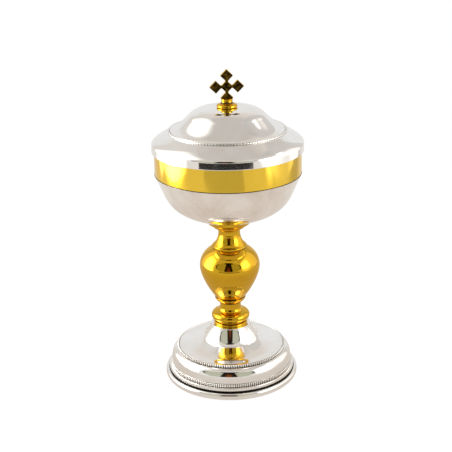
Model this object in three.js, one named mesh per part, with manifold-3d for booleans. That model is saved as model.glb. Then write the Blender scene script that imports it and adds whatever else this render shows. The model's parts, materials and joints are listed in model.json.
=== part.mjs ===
// A ciborium: a gilt cup in a silvered bowl, on a stem with a knop and a spun foot, under a
// lid with a beaded band and a small cross. Millimetres, +Z up, the origin at the middle of
// the foot's underside, the cross facing -Y with a slight turn.
//
// The stand is a stack of turned and spun pieces. One tie rod runs up its axis, from a nut
// inside the foot to a boss under the cup, and clamps them all. The lid lifts straight off.

import * as THREE from 'three';
import { mergeVertices } from 'three/addons/utils/BufferGeometryUtils.js';
import Module from 'manifold-3d';

// Facets round the large spun shells, and round the stem's turned pieces.
const shellSides = 28;
const stemSides = 24;
const hexSides = 6;

// Steps along each curve of a profile, and round a plate's corners.
const bowlSteps = 9;
const shellSteps = 6;
const stemSteps = 5;
const ringSteps = 4;
const bandSteps = 3;
const cornerSteps = 3;
const washerSteps = 16;

// Points nearer than these are one point.
const repeatDistance = 1e-6;
const mergeDistance = 1e-5;

// Clearances between neighbours, as radial or axial gaps.
const solderGap = 0.3;
const rodClearance = 0.3;
const threadClearance = 0.15;
const lidSeatGap = 0.3;
const lidCollarClearance = 0.5;

// Base ring: a heavy half-round ring with a dark groove above it.
const baseRingRadius = 51.5;
const baseRingHeight = 5.2;
const baseRingUndercut = 2.5;
const baseRingBulgeHeight = 2.5;
const baseRingTopInset = 1.9;
const baseRingUpstand = 1;
const baseRingUpstandWall = 2.2;
const grooveHeight = 1.4;

// Foot: a flange, a beaded band, an ovolo, a second beaded band and a trumpet up to the stem.
const footWall = 1;
const footEdgeInset = 2.6;
const flangeHeight = 2.1;
const flangeRun = 0.3;
const lowerBandInset = 1.3;
const lowerBandWall = 1;
const lowerBandHeight = 2.5;
const ovoloInset = 0.8;
const ovoloRun = 4.6;
const ovoloBulge = 0.1;
const ovoloHeight = 10.7;
const ovoloLowerRise = 3.6;
const ovoloShoulderInset = 0.3;
const ovoloUpperDrop = 1.3;
const upperBandOverhang = 0.3;
const upperBandWall = 1.4;
const upperBandHeight = 2.4;
const discRise = 2.2;
const trumpetHeight = 17.4;
const trumpetRadius = 15.3;
const trumpetThroatRadius = 15.9;
const trumpetThroatDrop = 4.2;
const trumpetBendRadius = 21.5;
const trumpetBendRise = 4.5;
const trumpetBendSlope = THREE.MathUtils.degToRad(38.3);
const trumpetUpperRun = 3.9;
const trumpetLowerRun = 1.1;
const trumpetSpread = 32;
const trumpetSpreadRise = 0.6;
const shoulderRound = 0.4;

// Gilt collar on the foot, and the bead and neck above it.
const footCollarRadius = 12.9;
const footCollarHeight = 2;
const footCollarRound = 0.9;
const footCollarNeckRadius = 11.2;
const beadRadius = 14.7;
const beadHeight = 8.4;
const beadFootRise = 0.5;
const beadLipRadius = 12.1;
const beadLipHeight = 0.8;
const beadSwellRise = 1.8;
const beadGirthRise = 4.4;
const beadShoulderDrop = 1.2;
const beadBrimDrop = 0.6;
const beadTopRadius = 10.2;
const lowerNeckRadius = 8.1;
const lowerNeckHeight = 7.2;
const lowerNeckFlareHeight = 3.6;
const lowerNeckFlareRise = 0.7;

// Cup-shaped ring under the knop, and the hollow knop.
const knopRingRadius = 11.9;
const knopRingLip = 0.6;
const knopRingRun = 1.8;
const knopRingLowerRise = 0.9;
const knopRingUpperDrop = 2.3;
const knopRingHeight = 4.6;
const spigotRadius = 7;
const spigotHeight = 2;
const knopWall = 1.2;
const knopFootRadius = 11.2;
const knopRadius = 23;
const knopTopRadius = 12.8;
const knopHeight = 40.8;
const knopGirthHeight = 25.6;
const knopFootRun = 3.8;
const knopFootRise = 4.1;
const knopBellyDrop = 8.3;
const knopShoulderRise = 6.8;
const knopShoulderRun = 5.9;
const knopShoulderDrop = 3.1;

// Bell-shaped collar over the knop, the upper neck and the calyx that holds the bowl.
const bellRadius = 13.2;
const bellLip = 1.2;
const bellHeight = 8.8;
const bellRun = 2.8;
const bellLowerRise = 3.3;
const bellUpperDrop = 3.1;
const bellThroat = 0.6;
const upperNeckRadius = 8.1;
const upperNeckEndRadius = 8.6;
const upperNeckHeight = 6.5;
const upperNeckLowerRise = 2.6;
const upperNeckUpperDrop = 1.6;
const calyxFootRadius = 9.6;
const calyxStepRadius = 12.4;
const calyxFlareRadius = 15.6;
const calyxStepHeight = 1.7;
const calyxFlareHeight = 1.7;
const calyxCurveRise = 1.5;
const calyxHeight = 7.6;
const calyxFloor = 1.1;

// Silvered bowl outside, gilt cup inside, and the boss that the rod screws into.
const bowlWall = 0.8;
const bowlFlatRadius = 17.5;
const bowlTurnInset = 5.8;
const bowlTurnRise = 8.5;
const bowlSideInset = 9.7;
const bowlSideRise = 16.7;
const bowlRimStep = 0.3;
const bowlHeight = 36.1;
const cupWall = 1;
const cupRadius = 54.5;
const cupBandHeight = 18.2;
const cupPadInset = 2;
const bossRadius = 6;
const bossCap = 1.5;

// Tie rod with its washer, spring washer and nut inside the foot.
const rodRadius = 3;
const rodEndGap = 0.5;
const rodTail = 4;
const footWasherRadius = 11;
const footWasherThickness = 1.5;
const springWasherRadius = 5.2;
const springWasherThickness = 1.6;
const springWasherSplit = THREE.MathUtils.degToRad(20);
const footNutAcrossFlats = 10;
const footNutHeight = 5;

// Lid: a straight rim, a rounded shoulder, a beaded band and a flat-topped dome.
const lidWall = 0.9;
const lidRimClearance = 0.7;
const lidRimHeight = 5.2;
const lidShoulderRise = 2.6;
const lidShoulderRun = 4.6;
const lidShoulderDrop = 2.9;
const lidOverhang = 1.5;
const lidLipHeight = 1.2;
const lidLipInset = 0.25;
const lidHeight = 31.4;
const lidBandInset = 12.4;
const lidBandWall = 1.3;
const lidBandHeight = 1.4;
const lidBandRise = 14.1;
const lidBandLedge = 0.6;
const lidBandSlope = 0.3;
const lidHollowRun = 4.4;
const lidHollowRise = 1.3;
const lidHollowDrop = 5.4;
const domeFootRun = 5.7;
const domeShoulderInset = 14.9;
const domeShoulderDrop = 6.1;
const domeCrownInset = 5.4;
const domeCrownRun = 7;
const domeFlatRadius = 8;
const lidCollarDepth = 6.8;
const lidCollarWall = 0.9;
const lidFlangeThickness = 1;

// Finial and cross, with the stud, washer and nut that hold them to the dome.
const finialBaseRadius = 6;
const finialDiscRadius = 7.6;
const finialDiscHeight = 2.5;
const finialGirthRise = 1.1;
const finialThroatRun = 1.6;
const finialThroatRise = 1;
const finialCollarRadius = 4.3;
const finialCollarWaist = 4.1;
const finialHeight = 6.3;
const crossSpacing = 8.03;
const crossHalfDiagonal = 4.7;
const crossThickness = 2.2;
const crossTipRound = 0.5;
const crossNotchRound = 1;
const crossSink = 3.73;
const crossTurn = THREE.MathUtils.degToRad(10);
const tangHalfWidth = 1.2;
const tangDepth = 2.5;
const studRadius = 2;
const studTail = 2;
const studDepth = 2.4;
const lidWasherRadius = 6;
const lidWasherThickness = 1;
const lidNutAcrossFlats = 7;
const lidNutHeight = 3.2;

// Levels of the stand, from the table up.
const footEdgeZ = baseRingHeight + grooveHeight;
const lowerBandZ = footEdgeZ + flangeHeight;
const ovoloZ = lowerBandZ + lowerBandHeight + solderGap;
const upperBandZ = ovoloZ + ovoloHeight;
const discZ = upperBandZ + discRise;
const footTopZ = discZ + trumpetHeight;
const beadZ = footTopZ + footCollarHeight;
const lowerNeckZ = beadZ + beadHeight;
const knopRingZ = lowerNeckZ + lowerNeckHeight;
const knopZ = knopRingZ + knopRingHeight;
const bellZ = knopZ + knopHeight;
const upperNeckZ = bellZ + bellHeight;
const calyxZ = upperNeckZ + upperNeckHeight;
const bowlZ = calyxZ + calyxHeight;
const cupZ = bowlZ + bowlWall;
const bowlRimZ = bowlZ + bowlHeight;
const cupRimZ = bowlRimZ + cupBandHeight;

// Levels of the lid, from its seat on the cup's rim.
const lidSeatZ = cupRimZ + lidSeatGap;
const lidEdgeZ = lidSeatZ - lidOverhang;
const lidBandZ = lidEdgeZ + lidBandRise;
const domeZ = lidEdgeZ + lidHeight;
const finialTopZ = domeZ + finialHeight;
const crossZ = finialTopZ + crossHalfDiagonal - crossSink + crossSpacing;

// Radii of the foot, from the base ring inwards.
const footEdgeRadius = baseRingRadius - footEdgeInset;
const flangeTopRadius = footEdgeRadius - flangeRun;
const lowerBandRadius = flangeTopRadius - lowerBandInset;
const ovoloRadius = lowerBandRadius - ovoloInset;
const upperBandSeatRadius = ovoloRadius - ovoloRun;
const upperBandRadius = upperBandSeatRadius + upperBandOverhang;

// Radii of the bowl and the lid, from the cup that both fit round.
const bowlRimRadius = cupRadius + bowlRimStep;
const lidRimRadius = cupRadius + lidRimClearance + lidWall;
const lidBandRadius = lidRimRadius - lidBandInset;
const domeShoulderRadius = lidBandRadius - domeShoulderInset;
const domeFootRadius = domeShoulderRadius + domeFootRun;
const domeCrownRadius = domeShoulderRadius - domeCrownInset;

// Radii that follow from a neighbour and a clearance.
const rodBoreRadius = rodRadius + rodClearance;
const studBoreRadius = studRadius + rodClearance;
const lowerSeatRadius = lowerBandRadius - lowerBandWall - solderGap;
const upperSeatRadius = upperBandRadius - upperBandWall - solderGap;
const lidSeatRadius = lidBandRadius - lidBandWall - solderGap;

const silverPlate = () => new THREE.MeshStandardMaterial({ color: 0xdcd8d2, roughness: 0.16, metalness: 1 });
const giltBrass = () => new THREE.MeshStandardMaterial({ color: 0xd9a520, roughness: 0.2, metalness: 1 });
const darkGilt = () => new THREE.MeshStandardMaterial({ color: 0xb8860b, roughness: 0.28, metalness: 1 });
const plainSteel = () => new THREE.MeshStandardMaterial({ color: 0x9a9a9a, roughness: 0.4, metalness: 1 });
const plainBrass = () => new THREE.MeshStandardMaterial({ color: 0xb5a05a, roughness: 0.35, metalness: 1 });

const wasm = await Module();
wasm.setup();

const part = new THREE.Group();

/** Adds one named piece to the assembly. */
function addPiece(name, geometry, material) {
  const mesh = new THREE.Mesh(geometry, material);
  mesh.name = name;
  part.add(mesh);
}

/** Starts a profile in the (radius, height) half-plane. */
function profile(radius, height) {
  const path = new THREE.Path();
  path.moveTo(radius, height);
  return path;
}

/** Points of a profile, with each curve in as many steps as given and no point twice. */
function pointsOf(path, steps) {
  const points = path.getPoints(steps);
  return points.filter(
    (point, index) => index === 0 || point.distanceTo(points[index - 1]) > repeatDistance);
}

/** Points of a curve moved sideways along its own normals, to its left. */
function offsetPoints(points, distance) {
  return points.map((point, index) => {
    const before = points[Math.max(index - 1, 0)];
    const after = points[Math.min(index + 1, points.length - 1)];
    const along = after.clone().sub(before).normalize();
    return new THREE.Vector2(point.x - along.y * distance, point.y + along.x * distance);
  });
}

/** Twice the area that a loop of points encloses, positive when it runs anticlockwise. */
function signedArea(points) {
  return points.reduce((sum, point, index) => {
    const next = points[(index + 1) % points.length];
    return sum + point.x * next.y - next.x * point.y;
  }, 0);
}

/** Turns a loop of (radius, height) points round the Z axis into a closed solid. */
function turned(points, sides) {
  const loop = signedArea(points) > 0 ? points.slice() : points.slice().reverse();
  const onAxis = loop[0].x === 0 && loop[loop.length - 1].x === 0;
  if (!onAxis) {
    loop.push(loop[0].clone());
  }
  return new THREE.LatheGeometry(loop, sides).rotateX(Math.PI / 2);
}

/** A flat ring between two radii and two heights. */
function flatRing(innerRadius, outerRadius, bottom, top, sides) {
  const path = profile(innerRadius, bottom);
  path.lineTo(outerRadius, bottom);
  path.lineTo(outerRadius, top);
  path.lineTo(innerRadius, top);
  return turned(path.getPoints(), sides);
}

/** A ring with a flat seat and a half-round outer edge, as a soldered beaded wire has. */
function beadedBand(radius, wall, height, z) {
  const edge = wall / 2;
  const girthZ = z + height / 2;
  const path = profile(radius - wall, z);
  path.lineTo(radius - edge, z);
  path.bezierCurveTo(radius, z, radius, (z + girthZ) / 2, radius, girthZ);
  path.bezierCurveTo(radius, (girthZ + z + height) / 2, radius, z + height, radius - edge, z + height);
  path.lineTo(radius - wall, z + height);
  return turned(pointsOf(path, bandSteps), shellSides);
}

/** A hexagon nut with a round bore, its bottom at z. */
function hexNut(acrossFlats, boreRadius, height, z) {
  const corner = acrossFlats / (2 * Math.cos(Math.PI / hexSides));
  const corners = Array.from({ length: hexSides }, (_, side) => {
    const angle = side * 2 * Math.PI / hexSides;
    return new THREE.Vector2(corner * Math.cos(angle), corner * Math.sin(angle));
  });
  const shape = new THREE.Shape(corners);
  shape.holes.push(new THREE.Path().absarc(0, 0, boreRadius, 0, 2 * Math.PI, true));
  const settings = { depth: height, bevelEnabled: false, curveSegments: stemSides };
  return new THREE.ExtrudeGeometry(shape, settings).translate(0, 0, z);
}

/** A round bar along Z between two heights. */
function roundBar(radius, bottom, top) {
  const bar = new THREE.CylinderGeometry(radius, radius, top - bottom, stemSides);
  return bar.rotateX(Math.PI / 2).translate(0, 0, (bottom + top) / 2);
}

/** A geometry as a manifold solid, with only its positions kept. */
function toSolid(geometry) {
  const bare = geometry.clone();
  bare.deleteAttribute('normal');
  bare.deleteAttribute('uv');
  const merged = mergeVertices(bare, mergeDistance);
  return new wasm.Manifold(new wasm.Mesh({
    numProp: 3,
    vertProperties: new Float32Array(merged.attributes.position.array),
    triVerts: new Uint32Array(dropSlivers(merged.index.array)),
  }));
}

/** Triangles without those that lost an edge when their vertices were merged. */
function dropSlivers(index) {
  const kept = [];
  for (let at = 0; at < index.length; at += 3) {
    const [a, b, c] = [index[at], index[at + 1], index[at + 2]];
    if (a !== b && b !== c && c !== a) {
      kept.push(a, b, c);
    }
  }
  return kept;
}

/** One geometry with another cut out of it. */
function cutAway(geometry, tool) {
  const mesh = toSolid(geometry).subtract(toSolid(tool)).getMesh();
  const result = new THREE.BufferGeometry();
  result.setAttribute('position', new THREE.BufferAttribute(new Float32Array(mesh.vertProperties), 3));
  result.setIndex(Array.from(mesh.triVerts));
  return result;
}

/** Half-round ring that the foot's edge stands on, with an upstand inside the shell. */
function baseRing() {
  const upstandRadius = flangeTopRadius - footWall - solderGap;
  const innerRadius = upstandRadius - baseRingUpstandWall;
  const ledgeRadius = footEdgeRadius - footWall / 2;
  const topRadius = baseRingRadius - baseRingTopInset;
  const bulge = baseRingBulgeHeight;
  const path = profile(innerRadius, 0);
  path.lineTo(baseRingRadius - baseRingUndercut, 0);
  path.quadraticCurveTo(baseRingRadius, 0, baseRingRadius, bulge);
  path.quadraticCurveTo(baseRingRadius, baseRingHeight, topRadius, baseRingHeight);
  path.lineTo(ledgeRadius, baseRingHeight);
  path.lineTo(ledgeRadius, footEdgeZ);
  path.lineTo(upstandRadius, footEdgeZ);
  path.lineTo(upstandRadius, footEdgeZ + baseRingUpstand);
  path.lineTo(innerRadius, footEdgeZ + baseRingUpstand);
  return turned(pointsOf(path, ringSteps), shellSides);
}

/** Spun shell of the foot, open below, with ledges for the two beaded bands. */
function footShell() {
  const slope = new THREE.Vector2(-Math.cos(trumpetBendSlope), Math.sin(trumpetBendSlope));
  const bend = new THREE.Vector2(trumpetBendRadius, discZ + trumpetBendRise);
  const above = bend.clone().addScaledVector(slope, trumpetUpperRun);
  const below = bend.clone().addScaledVector(slope, -trumpetLowerRun);
  const path = profile(footEdgeRadius, footEdgeZ);
  path.lineTo(flangeTopRadius, lowerBandZ);
  path.lineTo(lowerSeatRadius, lowerBandZ);
  path.lineTo(lowerSeatRadius, ovoloZ);
  path.lineTo(ovoloRadius, ovoloZ);
  path.bezierCurveTo(
    ovoloRadius + ovoloBulge, ovoloZ + ovoloLowerRise,
    ovoloRadius - ovoloShoulderInset, upperBandZ - ovoloUpperDrop,
    upperBandSeatRadius, upperBandZ);
  path.lineTo(upperSeatRadius, upperBandZ);
  path.lineTo(upperSeatRadius, discZ);
  path.bezierCurveTo(trumpetSpread, discZ + trumpetSpreadRise, below.x, below.y, bend.x, bend.y);
  path.bezierCurveTo(
    above.x, above.y,
    trumpetThroatRadius, footTopZ - trumpetThroatDrop,
    trumpetRadius, footTopZ - shoulderRound);
  path.lineTo(trumpetRadius - shoulderRound, footTopZ);
  path.lineTo(rodBoreRadius, footTopZ);

  // The inner face follows the ledges' roots one wall further in.
  const inward = new THREE.Vector2(-slope.y, slope.x).multiplyScalar(footWall);
  path.lineTo(rodBoreRadius, footTopZ - footWall);
  path.lineTo(trumpetRadius - footWall, footTopZ - footWall);
  path.bezierCurveTo(
    trumpetThroatRadius - footWall, footTopZ - trumpetThroatDrop,
    above.x + inward.x, above.y + inward.y,
    bend.x + inward.x, bend.y + inward.y);
  path.bezierCurveTo(
    below.x + inward.x, below.y + inward.y,
    trumpetSpread, discZ + trumpetSpreadRise - footWall,
    upperSeatRadius - footWall, discZ - footWall);
  path.lineTo(upperSeatRadius - footWall, upperBandZ - footWall);
  path.bezierCurveTo(
    lowerSeatRadius, upperBandZ - ovoloUpperDrop - footWall / 2,
    lowerSeatRadius - footWall, ovoloZ + ovoloLowerRise,
    lowerSeatRadius - footWall, ovoloZ);
  path.lineTo(lowerSeatRadius - footWall, lowerBandZ);
  path.lineTo(flangeTopRadius - footWall, lowerBandZ - footWall);
  path.lineTo(footEdgeRadius - footWall, footEdgeZ);
  return turned(pointsOf(path, shellSteps), shellSides);
}

/** Turned collar between the foot and the bead. */
function footCollar() {
  const edgeRadius = footCollarRadius - footCollarRound;
  const girthZ = footTopZ + footCollarRound;
  const path = profile(rodBoreRadius, footTopZ);
  path.lineTo(edgeRadius, footTopZ);
  path.quadraticCurveTo(footCollarRadius, footTopZ, footCollarRadius, girthZ);
  path.quadraticCurveTo(footCollarRadius, girthZ + footCollarRound, edgeRadius, girthZ + footCollarRound);
  path.lineTo(footCollarNeckRadius, beadZ);
  path.lineTo(rodBoreRadius, beadZ);
  return turned(pointsOf(path, bandSteps), stemSides);
}

/** Bead at the bottom of the stem: a lip, a full round and a flat top. */
function stemBead() {
  const path = profile(rodBoreRadius, beadZ);
  path.lineTo(footCollarNeckRadius, beadZ);
  path.lineTo(beadLipRadius, beadZ + beadFootRise);
  path.lineTo(beadLipRadius, beadZ + beadFootRise + beadLipHeight);
  path.quadraticCurveTo(beadRadius, beadZ + beadSwellRise, beadRadius, beadZ + beadGirthRise);
  path.bezierCurveTo(
    beadRadius, lowerNeckZ - beadShoulderDrop,
    beadLipRadius, lowerNeckZ - beadBrimDrop,
    beadTopRadius, lowerNeckZ);
  path.lineTo(rodBoreRadius, lowerNeckZ);
  return turned(pointsOf(path, stemSteps), stemSides);
}

/** Neck between the bead and the knop's ring, with a flared foot. */
function lowerNeck() {
  const path = profile(rodBoreRadius, lowerNeckZ);
  path.lineTo(beadTopRadius, lowerNeckZ);
  path.quadraticCurveTo(
    lowerNeckRadius, lowerNeckZ + lowerNeckFlareRise,
    lowerNeckRadius, lowerNeckZ + lowerNeckFlareHeight);
  path.lineTo(lowerNeckRadius, knopRingZ);
  path.lineTo(rodBoreRadius, knopRingZ);
  return turned(pointsOf(path, stemSteps), stemSides);
}

/** Cup-shaped ring that carries the knop on its rim and centres it with a spigot. */
function knopRing() {
  const path = profile(rodBoreRadius, knopRingZ);
  path.lineTo(lowerNeckRadius, knopRingZ);
  path.bezierCurveTo(
    lowerNeckRadius + knopRingRun, knopRingZ + knopRingLowerRise,
    knopRingRadius, knopZ - knopRingUpperDrop,
    knopRingRadius, knopZ - knopRingLip);
  path.lineTo(knopFootRadius, knopZ);
  path.lineTo(spigotRadius, knopZ);
  path.lineTo(spigotRadius, knopZ + spigotHeight);
  path.lineTo(rodBoreRadius, knopZ + spigotHeight);
  return turned(pointsOf(path, stemSteps), stemSides);
}

/** Hollow pear-shaped knop, open at both ends for the rod and the spigots. */
function knop() {
  const boreRadius = spigotRadius + solderGap;
  const girthZ = knopZ + knopGirthHeight;
  const path = profile(knopFootRadius, knopZ);
  path.bezierCurveTo(
    knopFootRadius + knopFootRun, knopZ + knopFootRise,
    knopRadius, girthZ - knopBellyDrop,
    knopRadius, girthZ);
  path.bezierCurveTo(
    knopRadius, girthZ + knopShoulderRise,
    knopTopRadius + knopShoulderRun, bellZ - knopShoulderDrop,
    knopTopRadius, bellZ);
  const skin = pointsOf(path, shellSteps);
  const lining = offsetPoints(skin, knopWall).filter(
    (point) => point.y > knopZ + knopWall && point.y < bellZ - knopWall);
  const first = lining[0];
  const last = lining[lining.length - 1];
  const loop = [
    new THREE.Vector2(boreRadius, knopZ),
    ...skin,
    new THREE.Vector2(boreRadius, bellZ),
    new THREE.Vector2(boreRadius, bellZ - knopWall),
    new THREE.Vector2(Math.max(last.x - knopWall, boreRadius + knopWall), bellZ - knopWall),
    ...lining.reverse(),
    new THREE.Vector2(Math.max(first.x - knopWall, boreRadius + knopWall), knopZ + knopWall),
    new THREE.Vector2(boreRadius, knopZ + knopWall),
  ];
  return turned(loop, stemSides);
}

/** Bell-shaped collar on the knop, with a spigot down into it. */
function bellCollar() {
  const path = profile(rodBoreRadius, bellZ - spigotHeight);
  path.lineTo(spigotRadius, bellZ - spigotHeight);
  path.lineTo(spigotRadius, bellZ);
  path.lineTo(bellRadius, bellZ);
  path.lineTo(bellRadius, bellZ + bellLip);
  path.bezierCurveTo(
    bellRadius - bellRun, bellZ + bellLowerRise,
    upperNeckEndRadius + bellThroat, upperNeckZ - bellUpperDrop,
    upperNeckEndRadius, upperNeckZ);
  path.lineTo(rodBoreRadius, upperNeckZ);
  return turned(pointsOf(path, stemSteps), stemSides);
}

/** Neck under the calyx, slightly waisted. */
function upperNeck() {
  const path = profile(rodBoreRadius, upperNeckZ);
  path.lineTo(upperNeckEndRadius, upperNeckZ);
  path.bezierCurveTo(
    upperNeckRadius, upperNeckZ + upperNeckLowerRise,
    upperNeckRadius, calyxZ - upperNeckUpperDrop,
    calyxFootRadius, calyxZ);
  path.lineTo(rodBoreRadius, calyxZ);
  return turned(pointsOf(path, stemSteps), stemSides);
}

/** Calyx: a stepped, flaring seat for the bowl, bored for the boss. */
function calyx() {
  const boreRadius = bossRadius + solderGap;
  const stepZ = calyxZ + calyxStepHeight;
  const flareZ = stepZ + calyxFlareHeight;
  const path = profile(rodBoreRadius, calyxZ);
  path.lineTo(calyxFootRadius, calyxZ);
  path.quadraticCurveTo(calyxStepRadius, calyxZ, calyxStepRadius, stepZ);
  path.lineTo(calyxFlareRadius, flareZ);
  path.quadraticCurveTo(bowlFlatRadius, flareZ + calyxCurveRise, bowlFlatRadius, bowlZ);
  path.lineTo(boreRadius, bowlZ);
  path.lineTo(boreRadius, calyxZ + calyxFloor);
  path.lineTo(rodBoreRadius, calyxZ + calyxFloor);
  return turned(pointsOf(path, stemSteps), stemSides);
}

/** Outer line of the bowl from the edge of its flat bottom to its rim. */
function bowlLine() {
  const path = profile(bowlFlatRadius, bowlZ);
  path.bezierCurveTo(
    bowlRimRadius - bowlTurnInset, bowlZ + bowlTurnRise,
    bowlRimRadius - bowlSideInset, bowlZ + bowlSideRise,
    bowlRimRadius, bowlRimZ);
  return pointsOf(path, bowlSteps);
}

/** The bowl's line moved inwards, ended level at the rim. */
function bowlLineInside(inset) {
  const points = offsetPoints(bowlLine(), inset);
  points[points.length - 1] = new THREE.Vector2(bowlRimRadius - inset, bowlRimZ);
  return points;
}

/** Silvered bowl round the cup, with a hole for the boss. */
function bowl() {
  const boreRadius = bossRadius + solderGap;
  const loop = [
    new THREE.Vector2(boreRadius, bowlZ),
    ...bowlLine(),
    ...bowlLineInside(bowlWall).reverse(),
    new THREE.Vector2(bowlFlatRadius - bowlWall, cupZ),
    new THREE.Vector2(boreRadius, cupZ),
  ];
  return turned(loop, shellSides);
}

/** Gilt cup inside the bowl, whose plain band stands above the bowl's rim. */
function cup() {
  const skinInset = bowlWall + solderGap;
  const liningInset = skinInset + cupWall;
  const bandZ = bowlRimZ + solderGap;
  const loop = [
    new THREE.Vector2(0, cupZ),
    new THREE.Vector2(bowlFlatRadius - cupPadInset, cupZ),
    ...bowlLineInside(skinInset),
    new THREE.Vector2(bowlRimRadius - skinInset, bandZ),
    new THREE.Vector2(cupRadius, bandZ),
    new THREE.Vector2(cupRadius, cupRimZ),
    new THREE.Vector2(cupRadius - cupWall, cupRimZ),
    new THREE.Vector2(cupRadius - cupWall, bandZ + cupWall),
    ...bowlLineInside(liningInset).reverse(),
    new THREE.Vector2(0, cupZ + solderGap + cupWall),
  ];
  return turned(loop, shellSides);
}

/** Boss under the cup, with a blind bore for the rod. */
function cupBoss() {
  const boreRadius = rodRadius + threadClearance;
  const loop = [
    new THREE.Vector2(0, cupZ - bossCap),
    new THREE.Vector2(boreRadius, cupZ - bossCap),
    new THREE.Vector2(boreRadius, calyxZ + calyxFloor + solderGap),
    new THREE.Vector2(bossRadius, calyxZ + calyxFloor + solderGap),
    new THREE.Vector2(bossRadius, cupZ),
    new THREE.Vector2(0, cupZ),
  ];
  return turned(loop, stemSides);
}

/** Spring washer: a flat split ring. */
function springWasher(top) {
  const gap = springWasherSplit / 2;
  const shape = new THREE.Shape();
  shape.absarc(0, 0, springWasherRadius, gap, 2 * Math.PI - gap, false);
  shape.absarc(0, 0, rodBoreRadius, 2 * Math.PI - gap, gap, true);
  const settings = { depth: springWasherThickness, bevelEnabled: false, curveSegments: washerSteps };
  return new THREE.ExtrudeGeometry(shape, settings).translate(0, 0, top - springWasherThickness);
}

/** Lid: rim, shoulder, ledge for the beaded band, hollow curve and dome. */
function lidShell() {
  const slant = lidWall * Math.SQRT1_2;
  const rimTopZ = lidEdgeZ + lidRimHeight;
  const ledgeRadius = lidBandRadius + lidBandLedge;
  const shoulderZ = domeZ - domeShoulderDrop;
  const path = profile(lidRimRadius - lidLipInset, lidEdgeZ);
  path.lineTo(lidRimRadius, lidEdgeZ + lidLipHeight);
  path.lineTo(lidRimRadius, rimTopZ);
  path.bezierCurveTo(
    lidRimRadius, rimTopZ + lidShoulderRise,
    ledgeRadius + lidShoulderRun, lidBandZ - lidShoulderDrop,
    ledgeRadius, lidBandZ - lidBandSlope);
  path.lineTo(lidBandRadius, lidBandZ);
  path.lineTo(lidSeatRadius, lidBandZ);
  path.lineTo(lidSeatRadius, lidBandZ + lidBandHeight);
  path.bezierCurveTo(
    lidSeatRadius - lidHollowRun, lidBandZ + lidBandHeight + lidHollowRise,
    domeFootRadius, shoulderZ - lidHollowDrop,
    domeShoulderRadius, shoulderZ);
  path.bezierCurveTo(
    domeCrownRadius, domeZ,
    domeCrownRadius - domeCrownRun, domeZ,
    domeFlatRadius, domeZ);
  path.lineTo(studBoreRadius, domeZ);

  // The inner face follows the ledge's root one wall further in.
  path.lineTo(studBoreRadius, domeZ - lidWall);
  path.lineTo(domeFlatRadius, domeZ - lidWall);
  path.bezierCurveTo(
    domeCrownRadius - domeCrownRun, domeZ - lidWall,
    domeCrownRadius - lidWall / 2, domeZ - lidWall,
    domeShoulderRadius - slant, shoulderZ - slant);
  path.bezierCurveTo(
    domeFootRadius - lidWall, shoulderZ - lidHollowDrop - slant,
    lidSeatRadius - lidHollowRun, lidBandZ + lidBandHeight + lidHollowRise - lidWall,
    lidSeatRadius - lidWall, lidBandZ + lidBandHeight - lidWall);
  path.lineTo(lidSeatRadius - lidWall, lidBandZ - lidWall);
  path.lineTo(ledgeRadius - lidWall / 2, lidBandZ - lidBandSlope - lidWall);
  path.bezierCurveTo(
    ledgeRadius + lidShoulderRun - slant, lidBandZ - lidShoulderDrop - slant,
    lidRimRadius - lidWall, rimTopZ + lidShoulderRise - lidWall,
    lidRimRadius - lidWall, rimTopZ - lidWall);
  path.lineTo(lidRimRadius - lidWall, lidEdgeZ);
  return turned(pointsOf(path, shellSteps), shellSides);
}

/** Flanged collar soldered in the lid: the flange sits on the cup, the skirt fits inside it. */
function lidCollar() {
  const skirtRadius = cupRadius - cupWall - lidCollarClearance;
  const path = profile(skirtRadius - lidCollarWall, lidSeatZ - lidCollarDepth);
  path.lineTo(skirtRadius, lidSeatZ - lidCollarDepth);
  path.lineTo(skirtRadius, lidSeatZ);
  path.lineTo(lidRimRadius - lidWall - solderGap, lidSeatZ);
  path.lineTo(lidRimRadius - lidWall - solderGap, lidSeatZ + lidFlangeThickness);
  path.lineTo(skirtRadius - lidCollarWall, lidSeatZ + lidFlangeThickness);
  return turned(path.getPoints(), shellSides);
}

/** Turned finial: a round disc and a collar, with a mortise on top for the cross's tang. */
function finial() {
  const boreRadius = studRadius + threadClearance;
  const girthZ = domeZ + finialGirthRise;
  const discTopZ = domeZ + finialDiscHeight;
  const path = profile(0, domeZ + studDepth);
  path.lineTo(boreRadius, domeZ + studDepth);
  path.lineTo(boreRadius, domeZ);
  path.lineTo(finialBaseRadius, domeZ);
  path.quadraticCurveTo(finialDiscRadius, domeZ, finialDiscRadius, girthZ);
  path.quadraticCurveTo(finialDiscRadius, discTopZ, finialCollarRadius + finialThroatRun, discTopZ);
  path.lineTo(finialCollarWaist, discTopZ + finialThroatRise);
  path.lineTo(finialCollarRadius, finialTopZ);
  path.lineTo(0, finialTopZ);
  const body = turned(pointsOf(path, ringSteps), stemSides);
  const depth = tangDepth + solderGap;
  const mortise = new THREE.BoxGeometry(
    2 * (tangHalfWidth + solderGap), crossThickness + 2 * solderGap, 2 * depth);
  return cutAway(body, mortise.rotateZ(crossTurn).translate(0, 0, finialTopZ));
}

/** Adds a rounded corner to a shape, cut back by the same length on both sides. */
function roundCorner(shape, before, corner, after, cutBack) {
  const start = corner.clone().add(before.clone().sub(corner).setLength(cutBack));
  const end = corner.clone().add(after.clone().sub(corner).setLength(cutBack));
  shape.lineTo(start.x, start.y);
  shape.quadraticCurveTo(corner.x, corner.y, end.x, end.y);
}

/** Corners of one arm, from notch to notch, for an arm that points along +X. */
function armCorners() {
  const notch = crossHalfDiagonal - crossSpacing / 2;
  return [
    [crossSpacing / 2, -notch, crossNotchRound],
    [crossSpacing, -crossHalfDiagonal, crossTipRound],
    [crossSpacing + crossHalfDiagonal, 0, crossTipRound],
    [crossSpacing, crossHalfDiagonal, crossTipRound],
    [crossSpacing / 2, notch, crossNotchRound],
  ];
}

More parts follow.
